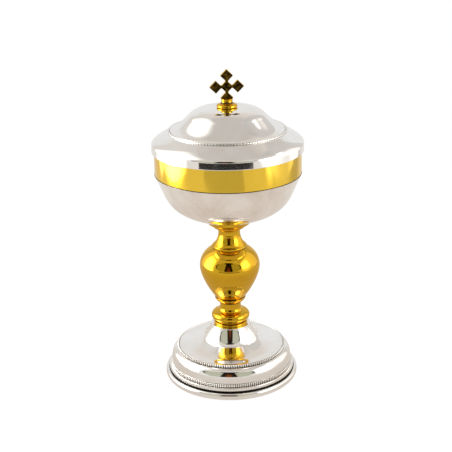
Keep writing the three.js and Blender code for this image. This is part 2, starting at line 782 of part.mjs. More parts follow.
/** Corners of the foot arm, whose tip is cut flat on the finial and carries the tang. */
function footArmCorners() {
  const [notchBelow, tipBelow, , tipAbove, notchAbove] = armCorners();
  const seat = crossZ - finialTopZ;
  const halfSeat = crossSpacing + crossHalfDiagonal - seat;
  return [
    notchBelow,
    tipBelow,
    [seat, -halfSeat, 0],
    [seat, -tangHalfWidth, 0],
    [seat + tangDepth, -tangHalfWidth, 0],
    [seat + tangDepth, tangHalfWidth, 0],
    [seat, tangHalfWidth, 0],
    [seat, halfSeat, 0],
    tipAbove,
    notchAbove,
  ];
}

/** Cross of five joined diamonds, as a flat plate on the finial. */
function cross() {
  const corners = [];
  for (let arm = 0; arm < 4; arm += 1) {
    const angle = arm * Math.PI / 2;
    const own = arm === 3 ? footArmCorners() : armCorners();
    own.forEach(([along, across, cutBack]) => {
      const corner = new THREE.Vector2(along, across).rotateAround(new THREE.Vector2(), angle);
      corners.push({ corner, cutBack });
    });
  }
  const shape = new THREE.Shape();
  const last = corners[corners.length - 1].corner;
  shape.moveTo((last.x + corners[0].corner.x) / 2, (last.y + corners[0].corner.y) / 2);
  corners.forEach(({ corner, cutBack }, index) => {
    const before = corners[(index + corners.length - 1) % corners.length].corner;
    const after = corners[(index + 1) % corners.length].corner;
    if (cutBack === 0) {
      shape.lineTo(corner.x, corner.y);
    } else {
      roundCorner(shape, before, corner, after, cutBack);
    }
  });
  const settings = { depth: crossThickness, bevelEnabled: false, curveSegments: cornerSteps };
  const plate = new THREE.ExtrudeGeometry(shape, settings).translate(0, 0, -crossThickness / 2);
  return plate.rotateX(Math.PI / 2).rotateZ(crossTurn).translate(0, 0, crossZ);
}

// Levels of the hardware inside the foot and inside the lid.
const footWasherZ = footTopZ - footWall - footWasherThickness;
const footNutZ = footWasherZ - springWasherThickness - footNutHeight;
const lidWasherZ = domeZ - lidWall - lidWasherThickness;
const lidNutZ = lidWasherZ - lidNutHeight;

addPiece('base_ring', baseRing(), silverPlate());
addPiece('foot_shell', footShell(), silverPlate());
addPiece('foot_bead_band_lower',
  beadedBand(lowerBandRadius, lowerBandWall, lowerBandHeight, lowerBandZ), silverPlate());
addPiece('foot_bead_band_upper',
  beadedBand(upperBandRadius, upperBandWall, upperBandHeight, upperBandZ), silverPlate());
addPiece('foot_collar', footCollar(), giltBrass());
addPiece('stem_bead', stemBead(), giltBrass());
addPiece('lower_neck', lowerNeck(), giltBrass());
addPiece('knop_ring', knopRing(), giltBrass());
addPiece('knop', knop(), giltBrass());
addPiece('bell_collar', bellCollar(), giltBrass());
addPiece('upper_neck', upperNeck(), giltBrass());
addPiece('calyx', calyx(), giltBrass());
addPiece('bowl', bowl(), silverPlate());
addPiece('cup', cup(), giltBrass());
addPiece('cup_boss', cupBoss(), plainBrass());
addPiece('tie_rod', roundBar(rodRadius, footNutZ - rodTail, cupZ - bossCap - rodEndGap), plainSteel());
addPiece('foot_washer',
  flatRing(rodBoreRadius, footWasherRadius, footWasherZ, footWasherZ + footWasherThickness, stemSides),
  plainBrass());
addPiece('spring_washer', springWasher(footWasherZ), plainSteel());
addPiece('foot_nut',
  hexNut(footNutAcrossFlats, rodRadius + threadClearance, footNutHeight, footNutZ), plainSteel());
addPiece('lid_shell', lidShell(), silverPlate());
addPiece('lid_bead_band', beadedBand(lidBandRadius, lidBandWall, lidBandHeight, lidBandZ), silverPlate());
addPiece('lid_collar', lidCollar(), silverPlate());
addPiece('finial', finial(), giltBrass());
addPiece('cross', cross(), darkGilt());
addPiece('finial_stud',
  roundBar(studRadius, lidNutZ - studTail, domeZ + studDepth - rodEndGap), plainBrass());
addPiece('lid_washer',
  flatRing(studBoreRadius, lidWasherRadius, lidWasherZ, lidWasherZ + lidWasherThickness, stemSides),
  plainBrass());
addPiece('lid_nut',
  hexNut(lidNutAcrossFlats, studRadius + threadClearance, lidNutHeight, lidNutZ), plainBrass());

export default part;
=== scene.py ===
"""A ciborium in silver plate and gilt brass: its fine surfaces, its finishes and its studio.

Sizes of the pieces are in millimetres, and a mesh gets its metres at the end. Sizes of the
studio are in metres. Profiles are loops of (radius, height) points that run anticlockwise, so
that faces point outwards.
"""

import json
from math import comb, cos, pi, radians, sin

import bpy
import numpy as np
from bpy.props import FloatProperty, FloatVectorProperty, IntProperty, PointerProperty
from mathutils import Matrix, Vector

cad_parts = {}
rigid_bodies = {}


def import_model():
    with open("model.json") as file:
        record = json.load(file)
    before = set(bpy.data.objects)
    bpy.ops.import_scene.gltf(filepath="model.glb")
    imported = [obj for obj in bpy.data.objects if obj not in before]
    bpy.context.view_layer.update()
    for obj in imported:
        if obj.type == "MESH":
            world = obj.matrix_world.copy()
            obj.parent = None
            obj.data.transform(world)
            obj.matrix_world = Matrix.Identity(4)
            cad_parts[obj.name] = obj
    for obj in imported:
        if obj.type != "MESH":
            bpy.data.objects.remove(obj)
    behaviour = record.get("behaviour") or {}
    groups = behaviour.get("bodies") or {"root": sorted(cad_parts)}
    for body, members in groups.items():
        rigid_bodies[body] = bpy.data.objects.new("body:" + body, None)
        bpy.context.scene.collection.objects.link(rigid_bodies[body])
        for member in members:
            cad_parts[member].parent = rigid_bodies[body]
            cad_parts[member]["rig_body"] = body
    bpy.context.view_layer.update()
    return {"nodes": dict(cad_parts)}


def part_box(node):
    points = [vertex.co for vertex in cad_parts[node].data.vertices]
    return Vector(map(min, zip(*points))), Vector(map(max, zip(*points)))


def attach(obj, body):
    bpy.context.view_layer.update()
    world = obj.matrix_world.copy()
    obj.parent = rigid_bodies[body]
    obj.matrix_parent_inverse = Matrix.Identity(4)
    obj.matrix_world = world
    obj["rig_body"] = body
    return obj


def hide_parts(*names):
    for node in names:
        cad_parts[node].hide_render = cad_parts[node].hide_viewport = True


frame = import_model()

bl_info = {
    "name": "Ciborium",
    "version": (1, 0, 0),
    "blender": (4, 5, 0),
    "location": "View3D > Sidebar > Ciborium",
    "description": "Makes the fine surfaces, the finishes and the studio of a lidded altar cup",
    "category": "Object",
}

MM = 0.001

# Sides of the large spun shells, of the stem's turned pieces and of the small hardware.
SHELL_SIDES = 288
STEM_SIDES = 192
SMALL_SIDES = 96
CURVE_STEPS = 22
EASE_STEPS = 5

# Clearances and edges that many pieces share, and the most of a side that a rounding takes.
SOLDER_GAP = 0.3
EDGE_ROUND = 0.25
SHARP_TURN = radians(18)
EASE_SHARE = 0.45

# Base ring.
RING_HEIGHT = 5.2
RING_UNDERCUT = 2.5
RING_BULGE_HEIGHT = 2.5
RING_TOP_INSET = 1.9
RING_LEDGE_INSET = 3.1
RING_UPSTAND_INSET = 4.2
RING_BORE_INSET = 6.4

# Foot, from its edge inwards and upwards.
FOOT_WALL = 1.0
FLANGE_HEIGHT = 2.1
FLANGE_RUN = 0.3
FLANGE_ROUND = 0.5
LOWER_BAND_INSET = 1.3
OVOLO_INSET = 0.8
OVOLO_RUN = 4.6
OVOLO_BULGE = 0.1
OVOLO_HEIGHT = 10.7
OVOLO_LOWER_RISE = 3.6
OVOLO_SHOULDER_INSET = 0.3
OVOLO_UPPER_DROP = 1.3
LOWER_BAND_WALL = 1.0
LOWER_BAND_HEIGHT = 2.5
UPPER_BAND_WALL = 1.4
UPPER_BAND_OVERHANG = 0.3
DISC_RISE = 2.2
TRUMPET_RADIUS = 15.3
TRUMPET_THROAT_RADIUS = 15.5
TRUMPET_THROAT_DROP = 1.8
TRUMPET_BEND_RADIUS = 22.0
TRUMPET_BEND_RISE = 4.8
TRUMPET_BEND_SLOPE = radians(26.8)
TRUMPET_UPPER_RUN = 3.6
TRUMPET_LOWER_RUN = 11.2
TRUMPET_SPREAD = 34.6
TRUMPET_SPREAD_RISE = 0.5
SHOULDER_ROUND = 0.4
ROD_BORE = 3.3

# Stem.
COLLAR_ROUND = 0.9
COLLAR_NECK_RADIUS = 11.2
BEAD_FOOT_RISE = 0.5
BEAD_LIP_RADIUS = 12.1
BEAD_LIP_HEIGHT = 0.8
BEAD_SWELL_RISE = 1.8
BEAD_GIRTH_RISE = 4.4
BEAD_SHOULDER_DROP = 1.2
BEAD_BRIM_DROP = 0.6
BEAD_TOP_RADIUS = 10.2
LOWER_NECK_RADIUS = 8.1
LOWER_NECK_FLARE_HEIGHT = 3.6
LOWER_NECK_FLARE_RISE = 0.7
KNOP_RING_LIP = 0.6
KNOP_RING_RUN = 1.8
KNOP_RING_LOWER_RISE = 0.9
KNOP_RING_UPPER_DROP = 2.3
SPIGOT_RADIUS = 7.0
SPIGOT_HEIGHT = 2.0
KNOP_WALL = 1.2
KNOP_FOOT_RADIUS = 11.2
KNOP_TOP_RADIUS = 12.8
KNOP_GIRTH_HEIGHT = 25.6
KNOP_FOOT_RUN = 3.8
KNOP_FOOT_RISE = 4.1
KNOP_BELLY_DROP = 8.3
KNOP_SHOULDER_RISE = 6.8
KNOP_SHOULDER_RUN = 5.9
KNOP_SHOULDER_DROP = 3.1
BELL_LIP = 1.2
BELL_RUN = 2.8
BELL_LOWER_RISE = 3.3
BELL_UPPER_DROP = 3.1
BELL_THROAT = 0.6
UPPER_NECK_RADIUS = 8.1
UPPER_NECK_END_RADIUS = 8.6
UPPER_NECK_LOWER_RISE = 2.6
UPPER_NECK_UPPER_DROP = 1.6
CALYX_FOOT_RADIUS = 9.6
CALYX_STEP_RADIUS = 12.4
CALYX_FLARE_RADIUS = 15.6
CALYX_STEP_HEIGHT = 1.7
CALYX_FLARE_HEIGHT = 1.7
CALYX_CURVE_RISE = 1.5
CALYX_FLOOR = 1.1

# Bowl and cup.
BOWL_WALL = 0.8
BOWL_FLAT_RADIUS = 17.5
BOWL_TURN_INSET = 5.8
BOWL_TURN_RISE = 8.5
BOWL_SIDE_INSET = 9.7
BOWL_SIDE_RISE = 16.7
BOSS_BORE = 6.3
CUP_WALL = 1.0
CUP_PAD_INSET = 2.0

# Lid.
LID_WALL = 0.9
LID_RIM_HEIGHT = 5.2
LID_SHOULDER_RISE = 2.6
LID_SHOULDER_RUN = 4.6
LID_SHOULDER_DROP = 2.9
LID_RIM_TAPER = 0.1
LID_BAND_WALL = 1.3
LID_BAND_LEDGE = 0.6
LID_BAND_SLOPE = 0.3
LID_HOLLOW_RUN = 4.4
LID_HOLLOW_RISE = 1.3
LID_HOLLOW_DROP = 5.4
DOME_SHOULDER_INSET = 14.9
DOME_SHOULDER_DROP = 6.1
DOME_FOOT_RUN = 5.7
DOME_CROWN_INSET = 5.4
DOME_CROWN_RUN = 7.0
DOME_FLAT_RADIUS = 8.0
LID_COLLAR_WALL = 0.9
LID_COLLAR_CLEARANCE = 0.5
LID_FLANGE_THICKNESS = 1.0

# Finial and cross.
STUD_BORE = 2.3
FINIAL_BASE_RADIUS = 6.0
FINIAL_DISC_HEIGHT = 2.5
FINIAL_GIRTH_RISE = 1.1
FINIAL_THROAT_RUN = 1.6
FINIAL_THROAT_RISE = 1.0
FINIAL_COLLAR_RADIUS = 4.3
FINIAL_COLLAR_WAIST = 4.1
CROSS_THICKNESS = 2.2
CROSS_CORNER_POINTS = 6
CROSS_SHARP_TURN = radians(14)
BEVEL_CROWN_INSET = 0.25
BEVEL_CROWN_DEPTH = 0.3

# Beads: points of a band's half ellipse, how much narrower a valley is, how high the painted
# shadow climbs from the band's foot, and the share of it on a ridge.
BEAD_POINTS = 9
VALLEY_NARROWING = 0.25
FOOT_SHADOW_REACH = 0.3
RIDGE_SHADOW_SHARE = 0.4

# Seams where dirt gathers and shade is painted, by their radius or by their distance from an edge.
# BOWL_SEAMS are radii, each with its height over the bowl's bottom.
GROOVE_SEAM_RUN = 0.4
FOOT_SEAM_INSET = 0.6
LOWER_BAND_SEAM_INSET = 0.4
UPPER_BAND_SEAM_INSET = 0.6
COLLAR_SEAM_RADIUS = 12.2
BEAD_SEAM_RADIUS = 11.3
BEAD_LIP_SEAM_RISE = 1.4
KNOP_SEAM_RADIUS = 13.2
BELL_SEAM_DROP = 0.4
BOWL_SEAMS = ((17.8, -0.3), (18.8, 0.0), (19.9, 0.3))
RIM_SEAM_INSET = 0.6
RIM_SEAM_RISE = 0.5
RIM_SEAM_DROP = 0.2
FINIAL_SEAM_RADIUS = 6.2
THROAT_SEAM_RADIUS = 4.2
THROAT_SEAM_RISE = 3.4

# Hardware. NUT_FACE_SHARE is the flat end's radius as a share of that of the flats, THREAD_DEPTH
# a share of the pitch, THREAD_ROWS the rows in one pitch, and WASHER_RISE a share of the height.
NUT_SIDES = 144
NUT_FACE_SHARE = 0.97
NUT_SHARP_TURN = radians(24)
COUNTERSINK = 0.4
FOOT_NUT_BORE = 3.15
FOOT_NUT_FLATS = 10.0
LID_NUT_BORE = 2.15
LID_NUT_FLATS = 7.0
ROD_SIDES = 48
ROD_CHAMFER = 0.5
ROD_THREADED = 14.0
STUD_THREADED = 8.5
THREAD_DEPTH = 0.31
THREAD_ROWS = 8
WASHER_STEPS = 96
WASHER_RISE = 0.1
HARDWARE_SHARP_TURN = radians(40)


def reach(node):
    """Radius of a round CAD node."""
    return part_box(node)[1][0] / MM


def low(node):
    """Height of a CAD node's lowest point."""
    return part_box(node)[0][2] / MM


def high(node):
    """Height of a CAD node's highest point."""
    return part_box(node)[1][2] / MM


def linear(colour):
    """Linear RGBA of an sRGB hex colour: v/12.92 up to 0.04045, above it ((v+0.055)/1.055)^2.4."""
    value = np.array([int(colour[at:at + 2], 16) / 255 for at in (1, 3, 5)])
    light = np.where(value <= 0.04045, value / 12.92, ((value + 0.055) / 1.055) ** 2.4)
    return (*light.tolist(), 1.0)


def outline(start, *segments):
    """Points of a profile. Two numbers are a straight line to that point, four are a quadratic
    curve and six a cubic one, each the sum of its knots weighted by Bernstein's polynomials
    comb(n, k) t^k (1-t)^(n-k)."""
    points = np.array([start], float)
    for segment in segments:
        knots = np.vstack([points[-1:], np.reshape(segment, (-1, 2))])
        degree = len(knots) - 1
        t = np.linspace(0, 1, 2 if degree == 1 else CURVE_STEPS + 1)[1:, None]
        curve = sum(
            comb(degree, k) * t ** k * (1 - t) ** (degree - k) * knot
            for k, knot in enumerate(knots))
        points = np.vstack([points, curve])
    return points


def aside(points, distance):
    """A profile moved to its left: each point goes along the normal of its neighbours' chord."""
    chord = np.gradient(points, axis=0)
    chord /= np.linalg.norm(chord, axis=1)[:, None]
    return points + distance * np.stack([-chord[:, 1], chord[:, 0]], 1)


def steadied(points, is_loop, margin=0.3, least=0.9):
    """A profile with a point added margin from both ends of each straight side longer than least,
    so that a corner's normal doesn't tilt the shading of the whole side."""
    steady = []
    for at, (start, end) in enumerate(zip(points, np.roll(points, -1, 0))):
        steady.append(start)
        length = np.linalg.norm(end - start)
        if length > least and (is_loop or at < len(points) - 1):
            steady.append(start + (end - start) * margin / length)
            steady.append(end - (end - start) * margin / length)
    return np.array(steady)


def eased(points, cut=EDGE_ROUND, is_loop=True):
    """A profile with rounded corners. A corner p becomes (1-t)^2 a + 2t(1-t) p + t^2 b, where a
    and b lie on its two sides, at most cut away and at most 0.45 of the side."""
    before = np.roll(points, 1, 0) - points
    after = np.roll(points, -1, 0) - points
    back = np.maximum(np.linalg.norm(before, axis=1), 1e-9)[:, None]
    ahead = np.maximum(np.linalg.norm(after, axis=1), 1e-9)[:, None]
    turn = -(before * after).sum(1) / (back * ahead)[:, 0]
    is_sharp = turn < cos(SHARP_TURN)
    if not is_loop:
        is_sharp[[0, -1]] = False
    size = np.minimum(cut, EASE_SHARE * np.minimum(back, ahead))
    t = np.linspace(0, 1, EASE_STEPS)[None, :, None]
    start = (points + before / back * size)[:, None]
    end = (points + after / ahead * size)[:, None]
    curve = (1 - t) ** 2 * start + 2 * t * (1 - t) * points[:, None] + t ** 2 * end
    curve[~is_sharp, 0] = points[~is_sharp]
    keep = np.ones(curve.shape[:2], bool)
    keep[~is_sharp, 1:] = False
    return curve[keep]


def polar(radius, angle, height):
    """Points (r cos a, r sin a, z)."""
    across = radius * np.cos(angle)
    return np.stack([across, radius * np.sin(angle), np.broadcast_to(height, across.shape)], -1)


def smooth_mesh(name, points, faces):
    """A smoothly shaded mesh of points in millimetres."""
    mesh = bpy.data.meshes.new(name)
    mesh.from_pydata((points * MM).tolist(), [], faces)
    mesh.update()
    mesh.shade_smooth()
    return mesh


def give_values(mesh, key, values):
    """Gives each point of a mesh a number that its material reads."""
    layer = mesh.attributes.new(key, "FLOAT", "POINT")
    layer.data.foreach_set("value", values.astype(np.float32))


def grid_mesh(name, grid, closed_profile=True, normals=None, values=None):
    """A mesh from a grid of points, closed round its first axis. Cell (i, j) is the face
    (i,j) (i+1,j) (i+1,j+1) (i,j+1). Where the profile starts and ends on the axis, each end is
    one pole and its cells are triangles."""
    sides, count = grid.shape[:2]
    index = np.arange(sides * count).reshape(sides, count)
    if not closed_profile:
        index[:, 0] = index[0, 0]
        index[:, -1] = index[0, -1]
    last = count if closed_profile else count - 1
    a = index[:, np.arange(last)]
    d = index[:, (np.arange(last) + 1) % count]
    b = np.roll(a, -1, 0)
    c = np.roll(d, -1, 0)
    if closed_profile:
        faces = np.stack([a, b, c, d], -1).reshape(-1, 4).tolist()
    else:
        faces = np.stack([a, b, c, d], -1)[:, 1:-1].reshape(-1, 4).tolist()
        faces += np.stack([a, c, d], -1)[:, 0].tolist()
        faces += np.stack([a, b, d], -1)[:, -1].tolist()
    used, compact = np.unique(index, return_inverse=True)
    renumber = np.zeros(sides * count, int)
    renumber[index.ravel()] = compact.ravel()
    faces = [[int(renumber[corner]) for corner in face] for face in faces]
    mesh = smooth_mesh(name, grid.reshape(-1, 3)[used], faces)
    if normals is not None:
        mesh.normals_split_custom_set_from_vertices(normals.reshape(-1, 3)[used].tolist())
    for key, array in (values or {}).items():
        give_values(mesh, key, array.reshape(-1)[used])
    return mesh


def turned_mesh(name, profile, sides, is_loop=True, crevices=(), spread=0.7):
    """A profile (r, z) turned round Z. Each point's normal is square to the chord of its
    neighbours. The mask of dirt and painted shade is exp(-(d/spread)^2) of the distance d to the
    nearest crevice."""
    angle = np.linspace(0, 2 * pi, sides, endpoint=False)[:, None]
    grid = polar(profile[:, 0], angle, profile[:, 1])
    chord = np.roll(profile, -1, 0) - np.roll(profile, 1, 0)
    if not is_loop:
        chord[0] = (1, 0)
        chord[-1] = (-1, 0)
    chord /= np.linalg.norm(chord, axis=1)[:, None]
    normals = polar(chord[:, 1], angle, -chord[:, 0])
    # Dirt and painted shade: darker towards each crevice, for the shade that falls in it.
    dirt_and_shade_mask = np.zeros(len(profile))
    for crevice in crevices:
        distance = np.linalg.norm(profile - np.array(crevice), axis=1)
        dirt_and_shade_mask = np.maximum(dirt_and_shade_mask, np.exp(-(distance / spread) ** 2))
    values = {"dirt_and_shade_mask": np.broadcast_to(dirt_and_shade_mask, grid.shape[:2])}
    return grid_mesh(name, grid, is_loop, normals, values)


def place(name, mesh, material, node, body):
    """Puts a mesh into the scene as a piece that stands for a CAD node and rides on its body."""
    piece = bpy.data.objects.new(name, mesh)
    bpy.context.scene.collection.objects.link(piece)
    mesh.materials.append(material)
    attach(piece, body)
    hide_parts(node)


# Profiles of the foot

def base_ring_outline():
    """Ring with a flat underside, a half-round side of two quadratic curves, a ledge under the
    foot's edge and an upstand inside it."""
    radius = reach("base_ring")
    foot_edge = low("foot_shell")
    return outline(
        (radius - RING_BORE_INSET, 0),
        (radius - RING_UNDERCUT, 0),
        (radius, 0, radius, RING_BULGE_HEIGHT),
        (radius, RING_HEIGHT, radius - RING_TOP_INSET, RING_HEIGHT),
        (radius - RING_LEDGE_INSET, RING_HEIGHT),
        (radius - RING_LEDGE_INSET, foot_edge),
        (radius - RING_UPSTAND_INSET, foot_edge),
        (radius - RING_UPSTAND_INSET, high("base_ring")),
        (radius - RING_BORE_INSET, high("base_ring")))


def foot_outline():
    """Spun shell: flange, ledge, ovolo as a cubic curve, ledge and a trumpet of two cubic curves
    that share a slope at the bend, then the same inside, one wall away."""
    edge = reach("foot_shell")
    bottom = low("foot_shell")
    top = high("foot_shell")
    flange = edge - FLANGE_RUN
    band_z = bottom + FLANGE_HEIGHT
    lower_seat = flange - LOWER_BAND_INSET - LOWER_BAND_WALL - SOLDER_GAP
    ovolo = flange - LOWER_BAND_INSET - OVOLO_INSET
    ovolo_z = band_z + LOWER_BAND_HEIGHT + SOLDER_GAP
    seat = ovolo - OVOLO_RUN
    upper_seat = seat + UPPER_BAND_OVERHANG - UPPER_BAND_WALL - SOLDER_GAP
    ledge_z = ovolo_z + OVOLO_HEIGHT
    disc_z = ledge_z + DISC_RISE
    slope = np.array([-cos(TRUMPET_BEND_SLOPE), sin(TRUMPET_BEND_SLOPE)])
    bend = np.array([TRUMPET_BEND_RADIUS, disc_z + TRUMPET_BEND_RISE])
    above = bend + slope * TRUMPET_UPPER_RUN
    below = bend - slope * TRUMPET_LOWER_RUN
    wall = FOOT_WALL
    inward = np.array([-slope[1], slope[0]]) * wall
    return outline(
        (edge, bottom),
        (flange, band_z - FLANGE_ROUND),
        (flange, band_z, flange - FLANGE_ROUND, band_z),
        (lower_seat, band_z),
        (lower_seat, ovolo_z),
        (ovolo, ovolo_z),
        (ovolo + OVOLO_BULGE, ovolo_z + OVOLO_LOWER_RISE,
         ovolo - OVOLO_SHOULDER_INSET, ledge_z - OVOLO_UPPER_DROP, seat, ledge_z),
        (upper_seat, ledge_z),
        (upper_seat, disc_z),
        (TRUMPET_SPREAD, disc_z + TRUMPET_SPREAD_RISE, *below, *bend),
        (*above, TRUMPET_THROAT_RADIUS, top - TRUMPET_THROAT_DROP,
         TRUMPET_RADIUS, top - SHOULDER_ROUND),
        (TRUMPET_RADIUS, top, TRUMPET_RADIUS - SHOULDER_ROUND, top),
        (ROD_BORE, top),
        (ROD_BORE, top - wall),
        (TRUMPET_RADIUS - wall, top - wall),
        (TRUMPET_THROAT_RADIUS - wall, top - TRUMPET_THROAT_DROP, *(above + inward),
         *(bend + inward)),
        (*(below + inward), TRUMPET_SPREAD, disc_z + TRUMPET_SPREAD_RISE - wall,
         upper_seat - wall, disc_z - wall),
        (upper_seat - wall, ledge_z - wall),
        (lower_seat, ledge_z - OVOLO_UPPER_DROP - wall / 2,
         lower_seat - wall, ovolo_z + OVOLO_LOWER_RISE, lower_seat - wall, ovolo_z),
        (lower_seat - wall, band_z),
        (flange - wall, band_z - wall),
        (edge - wall, bottom))


def beaded_mesh(name, node, wall, count, depth, bulge_share, dirt_and_shade_weight, steps=8):
    """Soldered band of beads. Its section is a flat seat inside and a half ellipse outside, and
    the ellipse's bulge is the share 1 - depth (1 - |sin(count a / 2)|) of its full size, so
    that it rises and falls count times round the ring. The ellipse takes bulge_share of the wall.
    The mask of dirt and painted shade is the weight times the larger of v, the valley's depth,
    which is painted shade in the valleys, and (0.4 + 0.6 v) exp(-(h/0.3)^2), a painted shadow along
    the band's foot, h being the height above the band's foot."""
    radius = reach(node)
    bottom = low(node)
    height = high(node) - bottom
    angle = np.linspace(0, 2 * pi, count * steps, endpoint=False)[:, None]
    turn = np.linspace(-pi / 2, pi / 2, BEAD_POINTS)
    bulge = np.concatenate([[0, 0], np.cos(turn)])
    rise = np.concatenate([[1, 0], (np.sin(turn) + 1) / 2])
    seat = np.concatenate([[0, 0], np.ones(len(turn))])
    swell = 1 - depth * (1 - np.abs(np.sin(count * angle / 2)))
    edge = wall * bulge_share
    radial = radius - wall + seat * (wall - edge) + edge * bulge * swell
    breadth = 1 - (1 - swell) * VALLEY_NARROWING * seat
    level = bottom + height * (0.5 + (rise - 0.5) * breadth)
    # Painted shade in the valleys between beads, and a painted shadow along the band's foot.
    valley = np.broadcast_to((1 - swell) / depth * seat, radial.shape)
    foot = np.exp(-((level - bottom) / FOOT_SHADOW_REACH) ** 2)
    foot *= RIDGE_SHADOW_SHARE + (1 - RIDGE_SHADOW_SHARE) * valley
    return grid_mesh(
        name, polar(radial, angle, level), values={"dirt_and_shade_mask": dirt_and_shade_weight * np.maximum(valley, foot)})


# Profiles of the stem

def foot_collar_outline():
    """Collar with a half-round edge of two quadratic curves and a cone up to the bead."""
    bottom, top = low("foot_collar"), high("foot_collar")
    radius = reach("foot_collar")
    edge = radius - COLLAR_ROUND
    girth = bottom + COLLAR_ROUND
    return outline(
        (ROD_BORE, bottom), (edge, bottom), (radius, bottom, radius, girth),
        (radius, girth + COLLAR_ROUND, edge, girth + COLLAR_ROUND),
        (COLLAR_NECK_RADIUS, top), (ROD_BORE, top))


def stem_bead_outline():
    """Bead: a short lip, a quadratic swell to the girth and a cubic curve in to the neck."""
    bottom, top = low("stem_bead"), high("stem_bead")
    radius = reach("stem_bead")
    return outline(
        (ROD_BORE, bottom), (COLLAR_NECK_RADIUS, bottom),
        (BEAD_LIP_RADIUS, bottom + BEAD_FOOT_RISE),
        (BEAD_LIP_RADIUS, bottom + BEAD_FOOT_RISE + BEAD_LIP_HEIGHT),
        (radius, bottom + BEAD_SWELL_RISE, radius, bottom + BEAD_GIRTH_RISE),
        (radius, top - BEAD_SHOULDER_DROP, BEAD_LIP_RADIUS, top - BEAD_BRIM_DROP,
         BEAD_TOP_RADIUS, top),
        (ROD_BORE, top))


def lower_neck_outline():
    """Neck with a quadratic flare at its foot."""
    bottom, top = low("lower_neck"), high("lower_neck")
    return outline(
        (ROD_BORE, bottom), (BEAD_TOP_RADIUS, bottom),
        (LOWER_NECK_RADIUS, bottom + LOWER_NECK_FLARE_RISE,
         LOWER_NECK_RADIUS, bottom + LOWER_NECK_FLARE_HEIGHT),
        (LOWER_NECK_RADIUS, top), (ROD_BORE, top))


def knop_ring_outline():
    """Cup-shaped ring, a cubic curve out to its lip, with a spigot up into the knop."""
    bottom, knop_z = low("knop_ring"), low("knop")
    radius = reach("knop_ring")
    return outline(
        (ROD_BORE, bottom), (LOWER_NECK_RADIUS, bottom),
        (LOWER_NECK_RADIUS + KNOP_RING_RUN, bottom + KNOP_RING_LOWER_RISE,
         radius, knop_z - KNOP_RING_UPPER_DROP, radius, knop_z - KNOP_RING_LIP),
        (KNOP_FOOT_RADIUS, knop_z), (SPIGOT_RADIUS, knop_z),
        (SPIGOT_RADIUS, knop_z + SPIGOT_HEIGHT), (ROD_BORE, knop_z + SPIGOT_HEIGHT))


def knop_outline():
    """Hollow knop: two cubic curves that meet upright at the girth, the same line one wall
    inside, and a flat disc round the bore at each end."""
    bottom, top = low("knop"), high("knop")
    radius = reach("knop")
    girth = bottom + KNOP_GIRTH_HEIGHT
    bore = SPIGOT_RADIUS + SOLDER_GAP
    skin = outline(
        (KNOP_FOOT_RADIUS, bottom),
        (KNOP_FOOT_RADIUS + KNOP_FOOT_RUN, bottom + KNOP_FOOT_RISE,
         radius, girth - KNOP_BELLY_DROP, radius, girth),
        (radius, girth + KNOP_SHOULDER_RISE,
         KNOP_TOP_RADIUS + KNOP_SHOULDER_RUN, top - KNOP_SHOULDER_DROP, KNOP_TOP_RADIUS, top))
    lining = aside(skin, KNOP_WALL)
    inside = (lining[:, 1] > bottom + KNOP_WALL) & (lining[:, 1] < top - KNOP_WALL)
    return np.vstack([
        [(bore, bottom)], skin, [(bore, top), (bore, top - KNOP_WALL)],
        lining[inside][::-1], [(bore, bottom + KNOP_WALL)]])


def bell_outline():
    """Bell-shaped collar: a lip and a cubic curve in to the neck, with a spigot below."""
    knop_top, top = high("knop"), high("bell_collar")
    radius = reach("bell_collar")
    return outline(
        (ROD_BORE, low("bell_collar")), (SPIGOT_RADIUS, low("bell_collar")),
        (SPIGOT_RADIUS, knop_top), (radius, knop_top), (radius, knop_top + BELL_LIP),
        (radius - BELL_RUN, knop_top + BELL_LOWER_RISE,
         UPPER_NECK_END_RADIUS + BELL_THROAT, top - BELL_UPPER_DROP, UPPER_NECK_END_RADIUS, top),
        (ROD_BORE, top))


def upper_neck_outline():
    """Neck with a slight waist, one cubic curve from the bell to the calyx."""
    bottom, top = low("upper_neck"), high("upper_neck")
    return outline(
        (ROD_BORE, bottom), (UPPER_NECK_END_RADIUS, bottom),
        (UPPER_NECK_RADIUS, bottom + UPPER_NECK_LOWER_RISE,
         UPPER_NECK_RADIUS, top - UPPER_NECK_UPPER_DROP, CALYX_FOOT_RADIUS, top),
        (ROD_BORE, top))


def calyx_outline():
    """Calyx: a quadratic step, a cone and a quadratic flare up to the bowl, bored from above."""
    bottom, top = low("calyx"), high("calyx")
    step = bottom + CALYX_STEP_HEIGHT
    flare = step + CALYX_FLARE_HEIGHT
    return outline(
        (ROD_BORE, bottom), (CALYX_FOOT_RADIUS, bottom),
        (CALYX_STEP_RADIUS, bottom, CALYX_STEP_RADIUS, step),
        (CALYX_FLARE_RADIUS, flare),
        (BOWL_FLAT_RADIUS, flare + CALYX_CURVE_RISE, BOWL_FLAT_RADIUS, top),
        (BOSS_BORE, top), (BOSS_BORE, bottom + CALYX_FLOOR), (ROD_BORE, bottom + CALYX_FLOOR))


# Profiles of the bowl, the cup and the lid

def bowl_line():
    """The bowl's outer line: one cubic curve from its flat bottom to its rim."""
    rim = reach("bowl")
    bottom, top = low("bowl"), high("bowl")
    return outline(
        (BOWL_FLAT_RADIUS, bottom),
        (rim - BOWL_TURN_INSET, bottom + BOWL_TURN_RISE,
         rim - BOWL_SIDE_INSET, bottom + BOWL_SIDE_RISE, rim, top))


def bowl_line_inside(inset):
    """The bowl's line moved inwards, ended level at the rim."""
    line = aside(bowl_line(), inset)
    line[-1] = (reach("bowl") - inset, high("bowl"))
    return line


def bowl_outline():
    """Bowl: its outer line, its inner line one wall away and a hole for the boss."""
    bottom = low("bowl")
    return np.vstack([
        [(BOSS_BORE, bottom)], bowl_line(), bowl_line_inside(BOWL_WALL)[::-1],
        [(BOWL_FLAT_RADIUS - BOWL_WALL, bottom + BOWL_WALL), (BOSS_BORE, bottom + BOWL_WALL)]])


